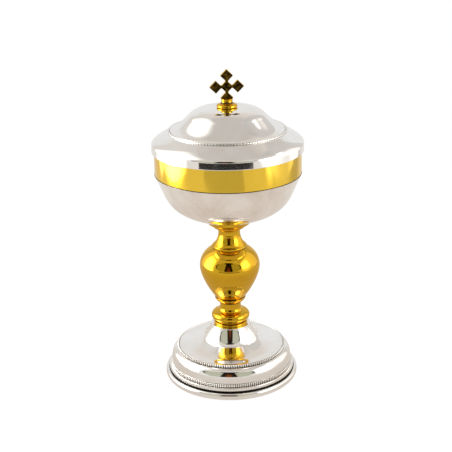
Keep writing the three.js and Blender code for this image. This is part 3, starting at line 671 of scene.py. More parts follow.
def cup_outline():
    """Cup: a skin just inside the bowl, a straight band above the bowl's rim and a lining."""
    radius, bottom, top = reach("cup"), low("cup"), high("cup")
    skin = BOWL_WALL + SOLDER_GAP
    band = high("bowl") + SOLDER_GAP
    return np.vstack([
        [(0, bottom), (BOWL_FLAT_RADIUS - CUP_PAD_INSET, bottom)],
        bowl_line_inside(skin),
        [(reach("bowl") - skin, band), (radius, band), (radius, top), (radius - CUP_WALL, top),
         (radius - CUP_WALL, band + CUP_WALL)],
        bowl_line_inside(skin + CUP_WALL)[::-1],
        [(0, bottom + SOLDER_GAP + CUP_WALL)]])


def lid_outline():
    """Lid: a rim that leans in a hair's breadth, a cubic shoulder, a ledge for the beads, a cubic
    hollow and a cubic crown, then the same inside, one wall away."""
    radius, edge, top = reach("lid_shell"), low("lid_shell"), high("lid_shell")
    band = reach("lid_bead_band")
    band_z, band_top = low("lid_bead_band"), high("lid_bead_band")
    seat = band - LID_BAND_WALL - SOLDER_GAP
    ledge = band + LID_BAND_LEDGE
    rim_z = edge + LID_RIM_HEIGHT
    shoulder = band - DOME_SHOULDER_INSET
    shoulder_z = top - DOME_SHOULDER_DROP
    foot = shoulder + DOME_FOOT_RUN
    crown = shoulder - DOME_CROWN_INSET
    wall = LID_WALL
    slant = wall * cos(pi / 4)
    return outline(
        (radius, edge),
        (radius - LID_RIM_TAPER, rim_z),
        (radius - LID_RIM_TAPER, rim_z + LID_SHOULDER_RISE,
         ledge + LID_SHOULDER_RUN, band_z - LID_SHOULDER_DROP, ledge, band_z - LID_BAND_SLOPE),
        (band, band_z),
        (seat, band_z),
        (seat, band_top),
        (seat - LID_HOLLOW_RUN, band_top + LID_HOLLOW_RISE,
         foot, shoulder_z - LID_HOLLOW_DROP, shoulder, shoulder_z),
        (crown, top, crown - DOME_CROWN_RUN, top, DOME_FLAT_RADIUS, top),
        (STUD_BORE, top),
        (STUD_BORE, top - wall),
        (DOME_FLAT_RADIUS, top - wall),
        (crown - DOME_CROWN_RUN, top - wall, crown - wall / 2, top - wall,
         shoulder - slant, shoulder_z - slant),
        (foot - wall, shoulder_z - LID_HOLLOW_DROP - slant,
         seat - LID_HOLLOW_RUN, band_top + LID_HOLLOW_RISE - wall, seat - wall, band_top - wall),
        (seat - wall, band_z - wall),
        (ledge - wall / 2, band_z - LID_BAND_SLOPE - wall),
        (ledge + LID_SHOULDER_RUN - slant, band_z - LID_SHOULDER_DROP - slant,
         radius - wall, rim_z + LID_SHOULDER_RISE - wall, radius - wall, rim_z - wall),
        (radius - wall, edge))


def lid_collar_outline():
    """Collar soldered in the lid: a skirt inside the cup and a flange on its rim."""
    flange, bottom, top = reach("lid_collar"), low("lid_collar"), high("lid_collar")
    skirt = reach("cup") - CUP_WALL - LID_COLLAR_CLEARANCE
    return outline(
        (skirt - LID_COLLAR_WALL, bottom), (skirt, bottom), (skirt, top - LID_FLANGE_THICKNESS),
        (flange, top - LID_FLANGE_THICKNESS), (flange, top), (skirt - LID_COLLAR_WALL, top))


def finial_outline():
    """Finial: a disc with a round edge of two quadratic curves, a throat and a short collar."""
    bottom = low("finial")
    radius = reach("finial")
    girth = bottom + FINIAL_GIRTH_RISE
    disc = bottom + FINIAL_DISC_HEIGHT
    return outline(
        (0, bottom), (FINIAL_BASE_RADIUS, bottom), (radius, bottom, radius, girth),
        (radius, disc, FINIAL_COLLAR_RADIUS + FINIAL_THROAT_RUN, disc),
        (FINIAL_COLLAR_WAIST, disc + FINIAL_THROAT_RISE),
        (FINIAL_COLLAR_RADIUS, high("finial")), (0, high("finial")))


def cross_mesh(name, sizes):
    """Cross of five joined diamonds, cut flat where it stands on the finial. Each rounded corner
    is a quadratic curve cut back by the same length on both sides. The plate has six layers of
    the outline, and the outer two on each side step inwards over the bevel. The bevel's share is 1
    on the plate's edge and 0 on its faces: the edge keeps the plain gilt, and the faces take the
    colours that are painted dark for the dark that they mirror."""
    spacing = sizes.diamond_spacing / MM
    half = sizes.diamond_half_diagonal / MM
    bevel = sizes.cross_bevel / MM
    seat_z = high("finial")
    centre_z = high("cross") - spacing - half
    seat = centre_z - seat_z
    notch = half - spacing / 2
    tip_cut = sizes.tip_round / MM
    notch_cut = sizes.notch_round / MM
    arm = np.array([
        (spacing / 2, -notch, notch_cut), (spacing, -half, tip_cut), (spacing + half, 0, tip_cut),
        (spacing, half, tip_cut), (spacing / 2, notch, notch_cut)])
    foot = np.array([
        arm[0], arm[1], (seat, seat - spacing - half, 0), (seat, spacing + half - seat, 0),
        arm[3], arm[4]])
    corners = []
    for quarter, own in enumerate((arm, arm, arm, foot)):
        c, s = cos(quarter * pi / 2), sin(quarter * pi / 2)
        corners.append(np.stack(
            [own[:, 0] * c - own[:, 1] * s, own[:, 0] * s + own[:, 1] * c, own[:, 2]], 1))
    corners = np.vstack(corners)
    point, cut = corners[:, :2], corners[:, 2:]
    before = np.roll(point, 1, 0) - point
    after = np.roll(point, -1, 0) - point
    before /= np.linalg.norm(before, axis=1)[:, None]
    after /= np.linalg.norm(after, axis=1)[:, None]
    t = np.linspace(0, 1, CROSS_CORNER_POINTS)[None, :, None]
    curve = (
        (1 - t) ** 2 * (point + before * cut)[:, None] + 2 * t * (1 - t) * point[:, None]
        + t ** 2 * (point + after * cut)[:, None])
    keep = np.ones(curve.shape[:2], bool)
    keep[cut[:, 0] == 0, 1:] = False
    loop = curve[keep]
    step = np.roll(loop, -1, 0) - np.roll(loop, 1, 0)
    step /= np.linalg.norm(step, axis=1)[:, None]
    inward = np.stack([-step[:, 1], step[:, 0]], 1)
    count = len(loop)
    half_depth = CROSS_THICKNESS / 2
    front = [
        (loop + inward * bevel * inset, bevel * depth - half_depth)
        for inset, depth in ((1, 0), (BEVEL_CROWN_INSET, BEVEL_CROWN_DEPTH), (0, 1))]
    rings = front + [(flat, -depth) for flat, depth in reversed(front)]
    turn = sizes.cross_turn
    bevel_gilt_share = np.repeat([0, 0.5, 1, 1, 0.5, 0], count)
    rows = []
    for flat, depth in rings:
        x, y = flat[:, 0], np.full(count, depth)
        rows.append(np.stack(
            [x * cos(turn) - y * sin(turn), x * sin(turn) + y * cos(turn), flat[:, 1] + centre_z],
            1))
    points = np.vstack(rows)
    at = np.arange(count)
    beyond = (at + 1) % count
    last = (len(rings) - 1) * count
    faces = [at.tolist(), (last + at)[::-1].tolist()]
    for base in range(0, last, count):
        top = base + count
        faces += np.stack([base + beyond, base + at, top + at, top + beyond], 1).tolist()
    mesh = smooth_mesh(name, points, faces)
    mesh.set_sharp_from_angle(angle=CROSS_SHARP_TURN)
    give_values(mesh, "bevel_gilt_share", bevel_gilt_share)
    return mesh


# Hardware inside the foot and the lid

def nut_mesh(name, node, bore, across_flats, chamfer):
    """Hexagon nut. Its side is the smaller of the hexagon f / (2 cos(a mod 60 - 30 degrees)) and
    a cone that cuts the corners at both ends, and its bore is a cylinder with a countersink."""
    bottom, top = low(node), high(node)
    angle = np.linspace(0, 2 * pi, NUT_SIDES, endpoint=False)[:, None]
    hexagon = across_flats / 2 / np.cos(np.mod(angle, pi / 3) - pi / 6)
    flat = across_flats / 2 * NUT_FACE_SHARE
    corner = across_flats / 2 / cos(pi / 6)
    share = np.linspace(0, 1, 5)
    cone = flat + (corner - flat) * share
    side = np.minimum(hexagon, np.concatenate([cone, cone[::-1]]))
    wide = bore + COUNTERSINK
    opening = np.broadcast_to([wide, bore, bore, wide], (len(angle), 4))
    level = np.concatenate([
        bottom + share * chamfer, top - share[::-1] * chamfer,
        [top, top - COUNTERSINK, bottom + COUNTERSINK, bottom]])
    mesh = grid_mesh(name, polar(np.concatenate([side, opening], 1), angle, level))
    mesh.set_sharp_from_angle(angle=NUT_SHARP_TURN)
    return mesh


def rod_mesh(name, node, pitch, threaded):
    """Rod with a thread at its lower end. The radius is R - 0.31 p (1 - |2 frac(z/p - a/2pi) - 1|)
    over the threaded length. It fades to R above that, and both ends are chamfered."""
    radius, bottom, top = reach(node), low(node), high(node)
    rows = int(threaded / pitch * THREAD_ROWS)
    level = np.concatenate([
        [bottom], bottom + np.linspace(0, threaded, rows), [top - ROD_CHAMFER, top, top]])
    angle = np.linspace(0, 2 * pi, ROD_SIDES, endpoint=False)[:, None]
    phase = np.mod(level[None, :] / pitch - angle / (2 * pi), 1)
    ridge = 1 - np.abs(2 * phase - 1)
    fade = np.clip((bottom + threaded - level) / pitch, 0, 1)
    radial = radius - THREAD_DEPTH * pitch * (1 - ridge) * fade
    from_end = np.minimum(level - bottom, top - level)
    radial = np.minimum(radial, radius - ROD_CHAMFER + np.minimum(from_end, ROD_CHAMFER))
    radial[:, [0, -1]] = 0
    mesh = grid_mesh(name, polar(radial, angle, level), closed_profile=False)
    mesh.set_sharp_from_angle(angle=HARDWARE_SHARP_TURN)
    return mesh


def split_washer_mesh(name, node, bore, split):
    """Spring washer: a rounded square section carried round all but the split, rising by a tenth
    of its height on the way, with a flat face at each end."""
    radius, bottom, top = reach(node), low(node), high(node)
    rise = WASHER_RISE * (top - bottom)
    section = eased(np.array([
        (bore, bottom), (radius, bottom), (radius, top - rise), (bore, top - rise)]))
    angle = np.linspace(split / 2, 2 * pi - split / 2, WASHER_STEPS)[:, None]
    lift = rise * (angle - angle[0]) / (angle[-1] - angle[0])
    grid = polar(section[:, 0], angle, section[:, 1] + lift)
    rows, count = grid.shape[:2]
    index = np.arange(rows * count).reshape(rows, count)
    a, b = index[:-1], index[1:]
    faces = np.stack([a, b, np.roll(b, -1, 1), np.roll(a, -1, 1)], -1).reshape(-1, 4).tolist()
    faces += [index[0].tolist(), index[-1][::-1].tolist()]
    mesh = smooth_mesh(name, grid.reshape(-1, 3), faces)
    mesh.set_sharp_from_angle(angle=HARDWARE_SHARP_TURN)
    return mesh


def washer_outline(node, bore):
    """A flat ring."""
    radius, bottom, top = reach(node), low(node), high(node)
    return outline((bore, bottom), (radius, bottom), (radius, top), (bore, top))


# Finishes

# Scales of the patterns, in features per metre: clouds of wear 25 mm across, smears 8 mm across,
# the mop's waves 11 mm apart, scratches 0.6 mm apart, tarnish in patches 2.4 mm across, lathe
# rings 0.4 mm apart, stains 4 mm across, a weave of 1.1 mm and a grain of 3.3 mm on the dark strip
# that mirrors see. The last two are coarser than real ones, so that they show.
CLOUD_SCALE = 40.0
SMEAR_SCALE = 130.0
WAVE_SCALE = 90.0
SCRATCH_SCALE = 1700.0
PATCH_SCALE = 420.0
LATHE_SCALE = 2500.0
STAIN_SCALE = 260.0
WEAVE_SCALE = 900.0
DARK_STRIP_GRAIN_SCALE = 300.0

# The part of each noise over which wear, smears, patches and stains come in, the same of the
# mask of dirt and painted shade, and what smears and that mask add to the roughness.
CLOUD_RANGE = (0.38, 0.72)
SMEAR_RANGE = (0.5, 0.75)
PATCH_RANGE = (0.28, 0.56)
STAIN_RANGE = (0.42, 0.68)
DIRT_AND_SHADE_RANGE = (0.12, 0.75)
SMEAR_ROUGHNESS = 0.03
DIRT_AND_SHADE_ROUGHNESS = 0.45

# Depths of the bumps, in metres. A scratch lies at 0.6 radians and is drawn out along its way.
WAVE_DEPTH = 2e-5
SCRATCH_DEPTH = 4e-6
LATHE_DEPTH = 5e-6
SCRATCH_TURN = (0, 0.6, 0)
SCRATCH_STRETCH = (1, 1, 0.08)


def add(tree, kind, feeds=None, **settings):
    """Adds one node. feeds gives its inputs, by name or number: a value, a socket of another
    node, or another node, whose first output in use is taken."""
    node = tree.nodes.new("ShaderNode" + kind)
    for key, value in settings.items():
        setattr(node, key, value)
    for key, value in (feeds or {}).items():
        if isinstance(value, bpy.types.Node):
            value = next(socket for socket in value.outputs if socket.enabled)
        if isinstance(value, bpy.types.NodeSocket):
            tree.links.new(value, node.inputs[key])
        else:
            node.inputs[key].default_value = value
    return node


def start_material(name):
    """An empty material and its tree."""
    material = bpy.data.materials.new(name)
    material.use_nodes = True
    material.node_tree.nodes.clear()
    return material, material.node_tree


def rings_and_place(tree):
    """Object coordinates, and the same with radius and height only, for marks that a lathe or a
    polishing mop leaves round the axis."""
    spot = add(tree, "TexCoord").outputs["Object"]
    flat = add(tree, "VectorMath", {0: spot, 1: (1, 1, 0)}, operation="MULTIPLY")
    radius = add(tree, "VectorMath", {0: flat}, operation="LENGTH")
    height = add(tree, "SeparateXYZ", {0: spot}).outputs[2]
    return spot, add(tree, "CombineXYZ", {0: radius, 2: height})


def polished_metal(name, bright, worn, dirt_and_shade_colour, wear, roughness, line_spacing, line_depth, coat=0.0,
                   edge=(1, 1, 1, 1)):
    """Polished plate. bright and worn mix in soft clouds by wear, dirt and painted shade darken it
    where the crevice mask is high, smears raise the roughness, and rings line_spacing metres
    apart and line_depth metres deep run round the axis. edge tints what is seen at a grazing angle."""
    material, tree = start_material(name)
    spot, rings = rings_and_place(tree)
    dirt_and_shade_mask = add(tree, "Attribute", attribute_name="dirt_and_shade_mask", attribute_type="GEOMETRY").outputs["Fac"]

    # Clouds of wear, smears, and dirt with painted shade in the grooves.
    cloud = add(
        tree, "TexNoise",
        {"Vector": spot, "Scale": CLOUD_SCALE, "Detail": 7.0, "Roughness": 0.68, "Distortion": 0.5})
    smear = add(
        tree, "TexNoise", {"Vector": spot, "Scale": SMEAR_SCALE, "Detail": 4.0, "Distortion": 0.8})
    worn_share = add(
        tree, "MapRange", {0: cloud, 1: CLOUD_RANGE[0], 2: CLOUD_RANGE[1], 3: 0.0, 4: wear})
    smear_share = add(tree, "MapRange", {0: smear, 1: SMEAR_RANGE[0], 2: SMEAR_RANGE[1]})
    dirt_and_shade_share = add(tree, "MapRange", {0: dirt_and_shade_mask, 1: DIRT_AND_SHADE_RANGE[0], 2: DIRT_AND_SHADE_RANGE[1]})
    surface = add(tree, "Mix", {0: worn_share, 6: bright, 7: worn}, data_type="RGBA")
    colour = add(tree, "Mix", {0: dirt_and_shade_share, 6: surface, 7: dirt_and_shade_colour}, data_type="RGBA")
    smeared = add(
        tree, "Math", {0: smear_share, 1: SMEAR_ROUGHNESS, 2: roughness}, operation="MULTIPLY_ADD")
    rough = add(
        tree, "Math", {0: dirt_and_shade_mask, 1: DIRT_AND_SHADE_ROUGHNESS, 2: smeared}, operation="MULTIPLY_ADD")

    # Rings of the lathe and the mop, over long slow waves that the spinning leaves.
    ring_noise = add(tree, "TexNoise", {"Vector": rings, "Scale": 1 / line_spacing, "Detail": 2.0})
    wave_noise = add(tree, "TexNoise", {"Vector": rings, "Scale": WAVE_SCALE, "Detail": 1.0})
    ring_bump = add(tree, "Bump", {"Strength": 1.0, "Distance": line_depth, "Height": ring_noise})
    wave_bump = add(
        tree, "Bump",
        {"Strength": 1.0, "Distance": WAVE_DEPTH, "Height": wave_noise, "Normal": ring_bump})
    shader = add(tree, "BsdfPrincipled", {
        "Base Color": colour,
        "Metallic": 1.0,
        "Roughness": rough,
        "Coat Weight": coat,
        "Specular Tint": edge,
        "Coat Roughness": 0.03,
        "Normal": wave_bump,
    })
    add(tree, "OutputMaterial", {0: shader})
    return material


def ground_gilt_painted_dark(name, clean, tarnish, bevel_gilt):
    """Gilding over a plate that was ground flat and not buffed: straight scratches, tarnish in
    patches and a duller shine than the turned pieces. Both face colours are painted dark, a painted
    reflection of the dark that the flat faces mirror, and the bevel attribute gives the edge the
    plain stem gilt."""
    material, tree = start_material(name)
    spot = add(tree, "TexCoord").outputs["Object"]
    turned = add(
        tree, "Mapping", {"Vector": spot, "Rotation": SCRATCH_TURN, "Scale": SCRATCH_STRETCH})
    scratch = add(tree, "TexNoise", {"Vector": turned, "Scale": SCRATCH_SCALE, "Detail": 3.0})
    patch = add(
        tree, "TexNoise", {"Vector": spot, "Scale": PATCH_SCALE, "Detail": 4.0, "Roughness": 0.65})
    share = add(tree, "MapRange", {0: patch, 1: PATCH_RANGE[0], 2: PATCH_RANGE[1]})
    # Painted reflection: the face's two colours, clean and tarnish, are both painted dark for the
    # dark that the faces mirror.
    face = add(tree, "Mix", {0: share, 6: clean, 7: tarnish}, data_type="RGBA")
    bevel_gilt_share = add(tree, "Attribute", attribute_name="bevel_gilt_share", attribute_type="GEOMETRY").outputs["Fac"]
    colour = add(tree, "Mix", {0: bevel_gilt_share, 6: face, 7: bevel_gilt}, data_type="RGBA")
    rough = add(tree, "MapRange", {0: scratch, 1: 0.3, 2: 0.7, 3: 0.16, 4: 0.34})
    bump = add(tree, "Bump", {"Strength": 1.0, "Distance": SCRATCH_DEPTH, "Height": scratch})
    shader = add(
        tree, "BsdfPrincipled",
        {"Base Color": colour, "Metallic": 1.0, "Roughness": rough, "Normal": bump})
    add(tree, "OutputMaterial", {0: shader})
    return material


def turned_hardware(name, bright, stained, roughness):
    """Metal as it comes off the lathe, not buffed: fine rings and dull stains."""
    material, tree = start_material(name)
    spot, rings = rings_and_place(tree)
    groove = add(tree, "TexNoise", {"Vector": rings, "Scale": LATHE_SCALE, "Detail": 2.0})
    stain = add(tree, "TexNoise", {"Vector": spot, "Scale": STAIN_SCALE, "Detail": 4.0})
    share = add(tree, "MapRange", {0: stain, 1: STAIN_RANGE[0], 2: STAIN_RANGE[1]})
    colour = add(tree, "Mix", {0: share, 6: bright, 7: stained}, data_type="RGBA")
    rough = add(tree, "MapRange", {0: stain, 1: 0.3, 2: 0.7, 3: roughness, 4: roughness + 0.15})
    bump = add(tree, "Bump", {"Strength": 1.0, "Distance": LATHE_DEPTH, "Height": groove})
    shader = add(
        tree, "BsdfPrincipled",
        {"Base Color": colour, "Metallic": 1.0, "Roughness": rough, "Normal": bump})
    add(tree, "OutputMaterial", {0: shader})
    return material


def finish(name):
    """The material of that finish, made the first time that a piece asks for it."""
    made = bpy.data.materials.get(name)
    if made:
        return made
    colours = bpy.context.scene.ciborium_finishes

    def shade(key):
        return (*getattr(colours, key), 1)

    if name == "buffed_silver_plate":
        # Silver plate, buffed to a mirror and then handled: bright, with faint warm clouds.
        return polished_metal(
            name, shade("silver"), shade("silver_worn"), shade("dirt_and_shade_colour"), wear=0.5,
            roughness=colours.silver_roughness, line_spacing=0.0009, line_depth=3e-7)
    if name == "handled_silver_plate":
        # The same plate on the bowl, where hands hold it: warmer and a little duller.
        return polished_metal(
            name, shade("bowl_silver"), shade("bowl_worn"), shade("dirt_and_shade_colour"), wear=0.7,
            roughness=colours.silver_roughness + 0.08, line_spacing=0.0009, line_depth=4e-7)
    if name == "silver_plated_beading":
        # The same plate on small beads, which the mop only half reaches: no sharp highlights.
        return polished_metal(
            name, shade("silver"), shade("silver_worn"), shade("dirt_and_shade_colour"), wear=0.5,
            roughness=0.22, line_spacing=0.0009, line_depth=3e-7)
    if name == "lacquered_gilt_stem":
        # Deep yellow gilding under a thin lacquer, which keeps white highlights on the gold.
        return polished_metal(
            name, shade("stem_gilt"), shade("stem_worn"), shade("gilt_tarnish_and_shade"), wear=0.6,
            roughness=colours.gilt_roughness, line_spacing=0.0011, line_depth=3e-7, coat=0.5,
            edge=linear("#F8E2A4"))
    if name == "lacquered_gilt_cup":
        # Paler gilding on the spun cup, with the finer rings of its turning.
        return polished_metal(
            name, shade("cup_gilt"), shade("cup_worn"), shade("gilt_tarnish_and_shade"), wear=0.5,
            roughness=colours.gilt_roughness + 0.01, line_spacing=0.0008, line_depth=5e-7,
            coat=0.8, edge=linear("#F6E6BC"))
    # The cross: ground gilt whose face colours are painted dark, a painted reflection.
    if name == "ground_gilt_plate_painted_dark":
        return ground_gilt_painted_dark(name, shade("ground_gilt_painted_dark"), shade("ground_tarnish_painted_dark"), shade("stem_gilt"))
    if name == "turned_brass":
        return turned_hardware(name, linear("#C4AE62"), linear("#8E7636"), 0.26)
    # The last finish, zinc plated steel: grey, with the same rings.
    return turned_hardware(name, linear("#C2C4C4"), linear("#8C8C88"), 0.24)


def turned_piece(name, node, profile, material, sides=STEM_SIDES, is_loop=True,
                 crevices=(), cut=EDGE_ROUND, spread=0.7):
    """Adds a turned piece that stands for one CAD node, on the body that the node rides on."""
    smooth = steadied(eased(profile, cut, is_loop), is_loop)
    mesh = turned_mesh(name, smooth, sides, is_loop, crevices, spread)
    place(name, mesh, finish(material), node, frame["nodes"][node]["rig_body"])


def colour_setting(name, description, colour):
    """A colour for the panel, from its sRGB hex value."""
    return FloatVectorProperty(
        name=name, description=description, subtype="COLOR", min=0, max=1,
        default=linear(colour)[:3])


def length_setting(name, description, millimetres):
    """A length for the panel."""
    return FloatProperty(
        name=name, description=description, unit="LENGTH", default=millimetres * MM)


def count_setting(name, description, count):
    """A number of beads for the panel."""
    return IntProperty(name=name, description=description, min=24, default=count)


class FinishColours(bpy.types.PropertyGroup):
    """Colours and shine of the metals."""
    silver: colour_setting("Silver", "Clean silver plate", "#F7F5F2")
    silver_worn: colour_setting(
        "Worn silver", "Silver plate under faint clouds of tarnish", "#E8DDD0")
    bowl_silver: colour_setting("Bowl silver", "Silver plate on the bowl", "#FAF4EE")
    bowl_worn: colour_setting(
        "Worn bowl silver", "Silver plate where the bowl is handled", "#DCCDBE")
    stem_gilt: colour_setting("Stem gilt", "Gilding on the stem and the finial", "#DCAC00")
    stem_worn: colour_setting("Worn stem gilt", "Gilding where it is thin", "#C99300")
    cup_gilt: colour_setting("Cup gilt", "Gilding on the cup", "#F6CC34")
    cup_worn: colour_setting(
        "Worn cup gilt", "Gilding on the cup where it is thin", "#EBBD28")
    # The cross's face colours are painted dark, a painted reflection of the dark that its flat
    # faces mirror, over its own tarnish patches.
    ground_gilt_painted_dark: colour_setting(
        "Ground gilt", "Gilding on the ground plate of the cross", "#80621E")
    ground_tarnish_painted_dark: colour_setting(
        "Ground gilt tarnish", "Brown patches on the cross", "#221A0C")
    # Dark of dirt and painted shade, which the crevice mask lays into grooves and seams of the
    # silver.
    dirt_and_shade_colour: colour_setting("Dirt", "Old polish and dust in grooves", "#150E09")
    # Brown tarnish and painted shade, which the crevice mask lays into grooves and seams of the
    # gilding.
    gilt_tarnish_and_shade: colour_setting(
        "Gilt dirt", "Brown tarnish in the grooves of the gilding", "#4A2E08")
    silver_roughness: FloatProperty(
        name="Silver roughness", description="Roughness of the clean silver", min=0, max=1,
        default=0.07)
    gilt_roughness: FloatProperty(
        name="Gilt roughness", description="Roughness of the clean gilding", min=0, max=1,
        default=0.05)


class BandSizes(bpy.types.PropertyGroup):
    """Beads of the three beaded bands."""
    lower_beads: count_setting("Lower foot beads", "Beads round the foot's lower band", 178)
    upper_beads: count_setting("Upper foot beads", "Beads round the foot's upper band", 150)
    lid_beads: count_setting("Lid beads", "Beads round the lid's band", 123)
    bead_depth: FloatProperty(
        name="Bead depth", description="How deep the valleys are, as a share of the bulge",
        subtype="FACTOR", min=0.1, max=1, default=0.85)
    lid_bead_depth: FloatProperty(
        name="Lid bead depth", description="The same on the lid, whose beads are worn",
        subtype="FACTOR", min=0.1, max=1, default=0.25)


class CrossSizes(bpy.types.PropertyGroup):
    """Sizes of the cross."""
    diamond_spacing: length_setting(
        "Spacing", "From the middle diamond to the next one", 8.03)
    diamond_half_diagonal: length_setting(
        "Half diagonal", "From a diamond's middle to its corner", 4.7)
    cross_bevel: length_setting("Bevel", "Width of the bright edge round the plate", 0.25)
    tip_round: length_setting("Tip round", "Length cut back at each tip", 0.5)
    notch_round: length_setting("Notch round", "Length cut back in each notch", 1.0)
    cross_turn: FloatProperty(
        name="Turn", description="How far the lid and its cross are turned", subtype="ANGLE",
        default=radians(10))


class HardwareSizes(bpy.types.PropertyGroup):
    """Sizes of the rod, the stud and their nuts."""
    rod_pitch: length_setting("Rod pitch", "Thread pitch of the tie rod", 1.0)
    stud_pitch: length_setting("Stud pitch", "Thread pitch of the finial's stud", 0.7)
    nut_chamfer: length_setting("Nut chamfer", "Height of the chamfer at a nut's corners", 0.6)
    washer_split: FloatProperty(
        name="Washer split", description="Opening of the spring washer", subtype="ANGLE",
        default=radians(20))


class StudioSizes(bpy.types.PropertyGroup):
    """Camera and lights."""
    camera_place: FloatVectorProperty(
        name="Camera place", description="Where the camera stands", subtype="TRANSLATION",
        unit="LENGTH", default=(0.0, -0.7306, 0.3832))
    camera_pitch: FloatProperty(
        name="Camera pitch", description="How far the camera looks down", subtype="ANGLE",
        default=0.3450)
    camera_yaw: FloatProperty(
        name="Camera yaw", description="How far the camera looks to the left", subtype="ANGLE",
        default=0.0032)
    camera_roll: FloatProperty(
        name="Camera roll", description="How far the camera is rolled", subtype="ANGLE",
        default=-0.0185)
    camera_lens: FloatProperty(
        name="Lens", description="Focal length in millimetres on a 36 mm sensor", default=81.906)
    left_power: FloatProperty(
        name="Left power", description="Power of the left softbox", subtype="POWER", unit="POWER",
        default=15.0)
    right_power: FloatProperty(
        name="Right power", description="Power of the right softbox", subtype="POWER",
        unit="POWER", default=11.0)


class CIBORIUM_OT_foot(bpy.types.Operator):
    """Makes the base ring, the spun foot and its two beaded bands"""
    bl_idname = "ciborium.foot"
    bl_label = "Foot"

    def execute(self, context):
        sizes = context.scene.ciborium_bands
        edge, edge_z = reach("foot_shell"), low("foot_shell")
        lower, lower_z = reach("foot_bead_band_lower"), low("foot_bead_band_lower")
        upper, upper_z = reach("foot_bead_band_upper"), low("foot_bead_band_upper")
        wall = edge - FOOT_WALL / 2
        turned_piece(
            "foot_base_ring", "base_ring", base_ring_outline(), "buffed_silver_plate",
            SHELL_SIDES,
            crevices=[(wall, RING_HEIGHT), (wall + GROOVE_SEAM_RUN, RING_HEIGHT),
                      (wall, (RING_HEIGHT + edge_z) / 2), (wall, edge_z)],
            spread=0.45)
        turned_piece(
            "foot_spun_shell", "foot_shell", foot_outline(), "buffed_silver_plate",
            SHELL_SIDES,
            crevices=[(edge - FOOT_SEAM_INSET, edge_z), (lower - LOWER_BAND_SEAM_INSET, lower_z),
                      (upper - UPPER_BAND_SEAM_INSET, upper_z)],
            spread=0.4)
        for name, node, wall, count in (
                ("foot_lower_beading", "foot_bead_band_lower", LOWER_BAND_WALL, sizes.lower_beads),
                ("foot_upper_beading", "foot_bead_band_upper", UPPER_BAND_WALL, sizes.upper_beads)):
            mesh = beaded_mesh(
                name, node, wall, count, sizes.bead_depth, bulge_share=0.7, dirt_and_shade_weight=1.0)
            place(name, mesh, finish("buffed_silver_plate"), node, "stand")
        return {"FINISHED"}


class CIBORIUM_OT_stem(bpy.types.Operator):
    """Makes the turned gilt pieces of the stem, from the foot's collar to the calyx"""
    bl_idname = "ciborium.stem"
    bl_label = "Stem"

    def execute(self, context):
        for name, node, profile, crevices in (
                ("stem_foot_collar", "foot_collar", foot_collar_outline(),
                 [(COLLAR_SEAM_RADIUS, low("foot_collar")),
                  (BEAD_SEAM_RADIUS, high("foot_collar"))]),
                ("stem_lower_bead", "stem_bead", stem_bead_outline(),
                 [(COLLAR_NECK_RADIUS, low("stem_bead")),
                  (COLLAR_SEAM_RADIUS, low("stem_bead") + BEAD_LIP_SEAM_RISE)]),
                ("stem_lower_neck", "lower_neck", lower_neck_outline(),
                 [(LOWER_NECK_RADIUS, high("lower_neck"))]),
                ("stem_knop_ring", "knop_ring", knop_ring_outline(),
                 [(LOWER_NECK_RADIUS, low("knop_ring")), (BEAD_SEAM_RADIUS, low("knop"))]),
                ("stem_knop", "knop", knop_outline(),
                 [(KNOP_FOOT_RADIUS, low("knop")), (KNOP_SEAM_RADIUS, high("knop"))]),
                ("stem_bell_collar", "bell_collar", bell_outline(),
                 [(KNOP_SEAM_RADIUS, high("knop") - BELL_SEAM_DROP)]),
                ("stem_upper_neck", "upper_neck", upper_neck_outline(), []),
                ("stem_calyx", "calyx", calyx_outline(),
                 [(BOWL_FLAT_RADIUS, high("calyx"))])):
            turned_piece(
                name, node, profile, "lacquered_gilt_stem", crevices=crevices,
                spread=0.4)
        return {"FINISHED"}


class CIBORIUM_OT_bowl(bpy.types.Operator):
    """Makes the silvered bowl and the gilt cup inside it"""
    bl_idname = "ciborium.bowl"
    bl_label = "Bowl and cup"

    def execute(self, context):
        bottom, rim_z = low("bowl"), high("bowl")
        seam = reach("bowl") - RIM_SEAM_INSET
        turned_piece(
            "bowl_spun_shell", "bowl", bowl_outline(), "handled_silver_plate",
            SHELL_SIDES,
            crevices=[(seam, rim_z + RIM_SEAM_RISE),
                      *((radius, bottom + rise) for radius, rise in BOWL_SEAMS)],
            cut=0.15)
        turned_piece(
            "cup_spun_shell", "cup", cup_outline(), "lacquered_gilt_cup", SHELL_SIDES,
            is_loop=False, crevices=[(seam, rim_z - RIM_SEAM_DROP)])
        return {"FINISHED"}


class CIBORIUM_OT_lid(bpy.types.Operator):
    """Makes the lid, its beaded band and the collar inside it"""
    bl_idname = "ciborium.lid"
    bl_label = "Lid"

    def execute(self, context):
        sizes = context.scene.ciborium_bands
        turned_piece(
            "lid_spun_shell", "lid_shell", lid_outline(), "buffed_silver_plate",
            SHELL_SIDES, crevices=[(FINIAL_SEAM_RADIUS, high("lid_shell"))])
        mesh = beaded_mesh(
            "lid_beading", "lid_bead_band", LID_BAND_WALL, sizes.lid_beads, sizes.lid_bead_depth,
            bulge_share=0.35, dirt_and_shade_weight=0.5)
        place(
            "lid_beading", mesh, finish("silver_plated_beading"), "lid_bead_band", "lid")
        turned_piece(
            "lid_fitting_collar", "lid_collar", lid_collar_outline(), "buffed_silver_plate",
            SHELL_SIDES)
        return {"FINISHED"}


class CIBORIUM_OT_cross(bpy.types.Operator):
    """Makes the finial and the cross on the lid"""
    bl_idname = "ciborium.cross"
    bl_label = "Finial and cross"

    def execute(self, context):
        turned_piece(
            "lid_finial", "finial", finial_outline(), "lacquered_gilt_stem",
            is_loop=False,
            crevices=[(FINIAL_SEAM_RADIUS, low("finial")),
                      (THROAT_SEAM_RADIUS, low("finial") + THROAT_SEAM_RISE)])
        mesh = cross_mesh("lid_cross", context.scene.ciborium_cross)
        place("lid_cross", mesh, finish("ground_gilt_plate_painted_dark"), "cross", "lid")
        return {"FINISHED"}


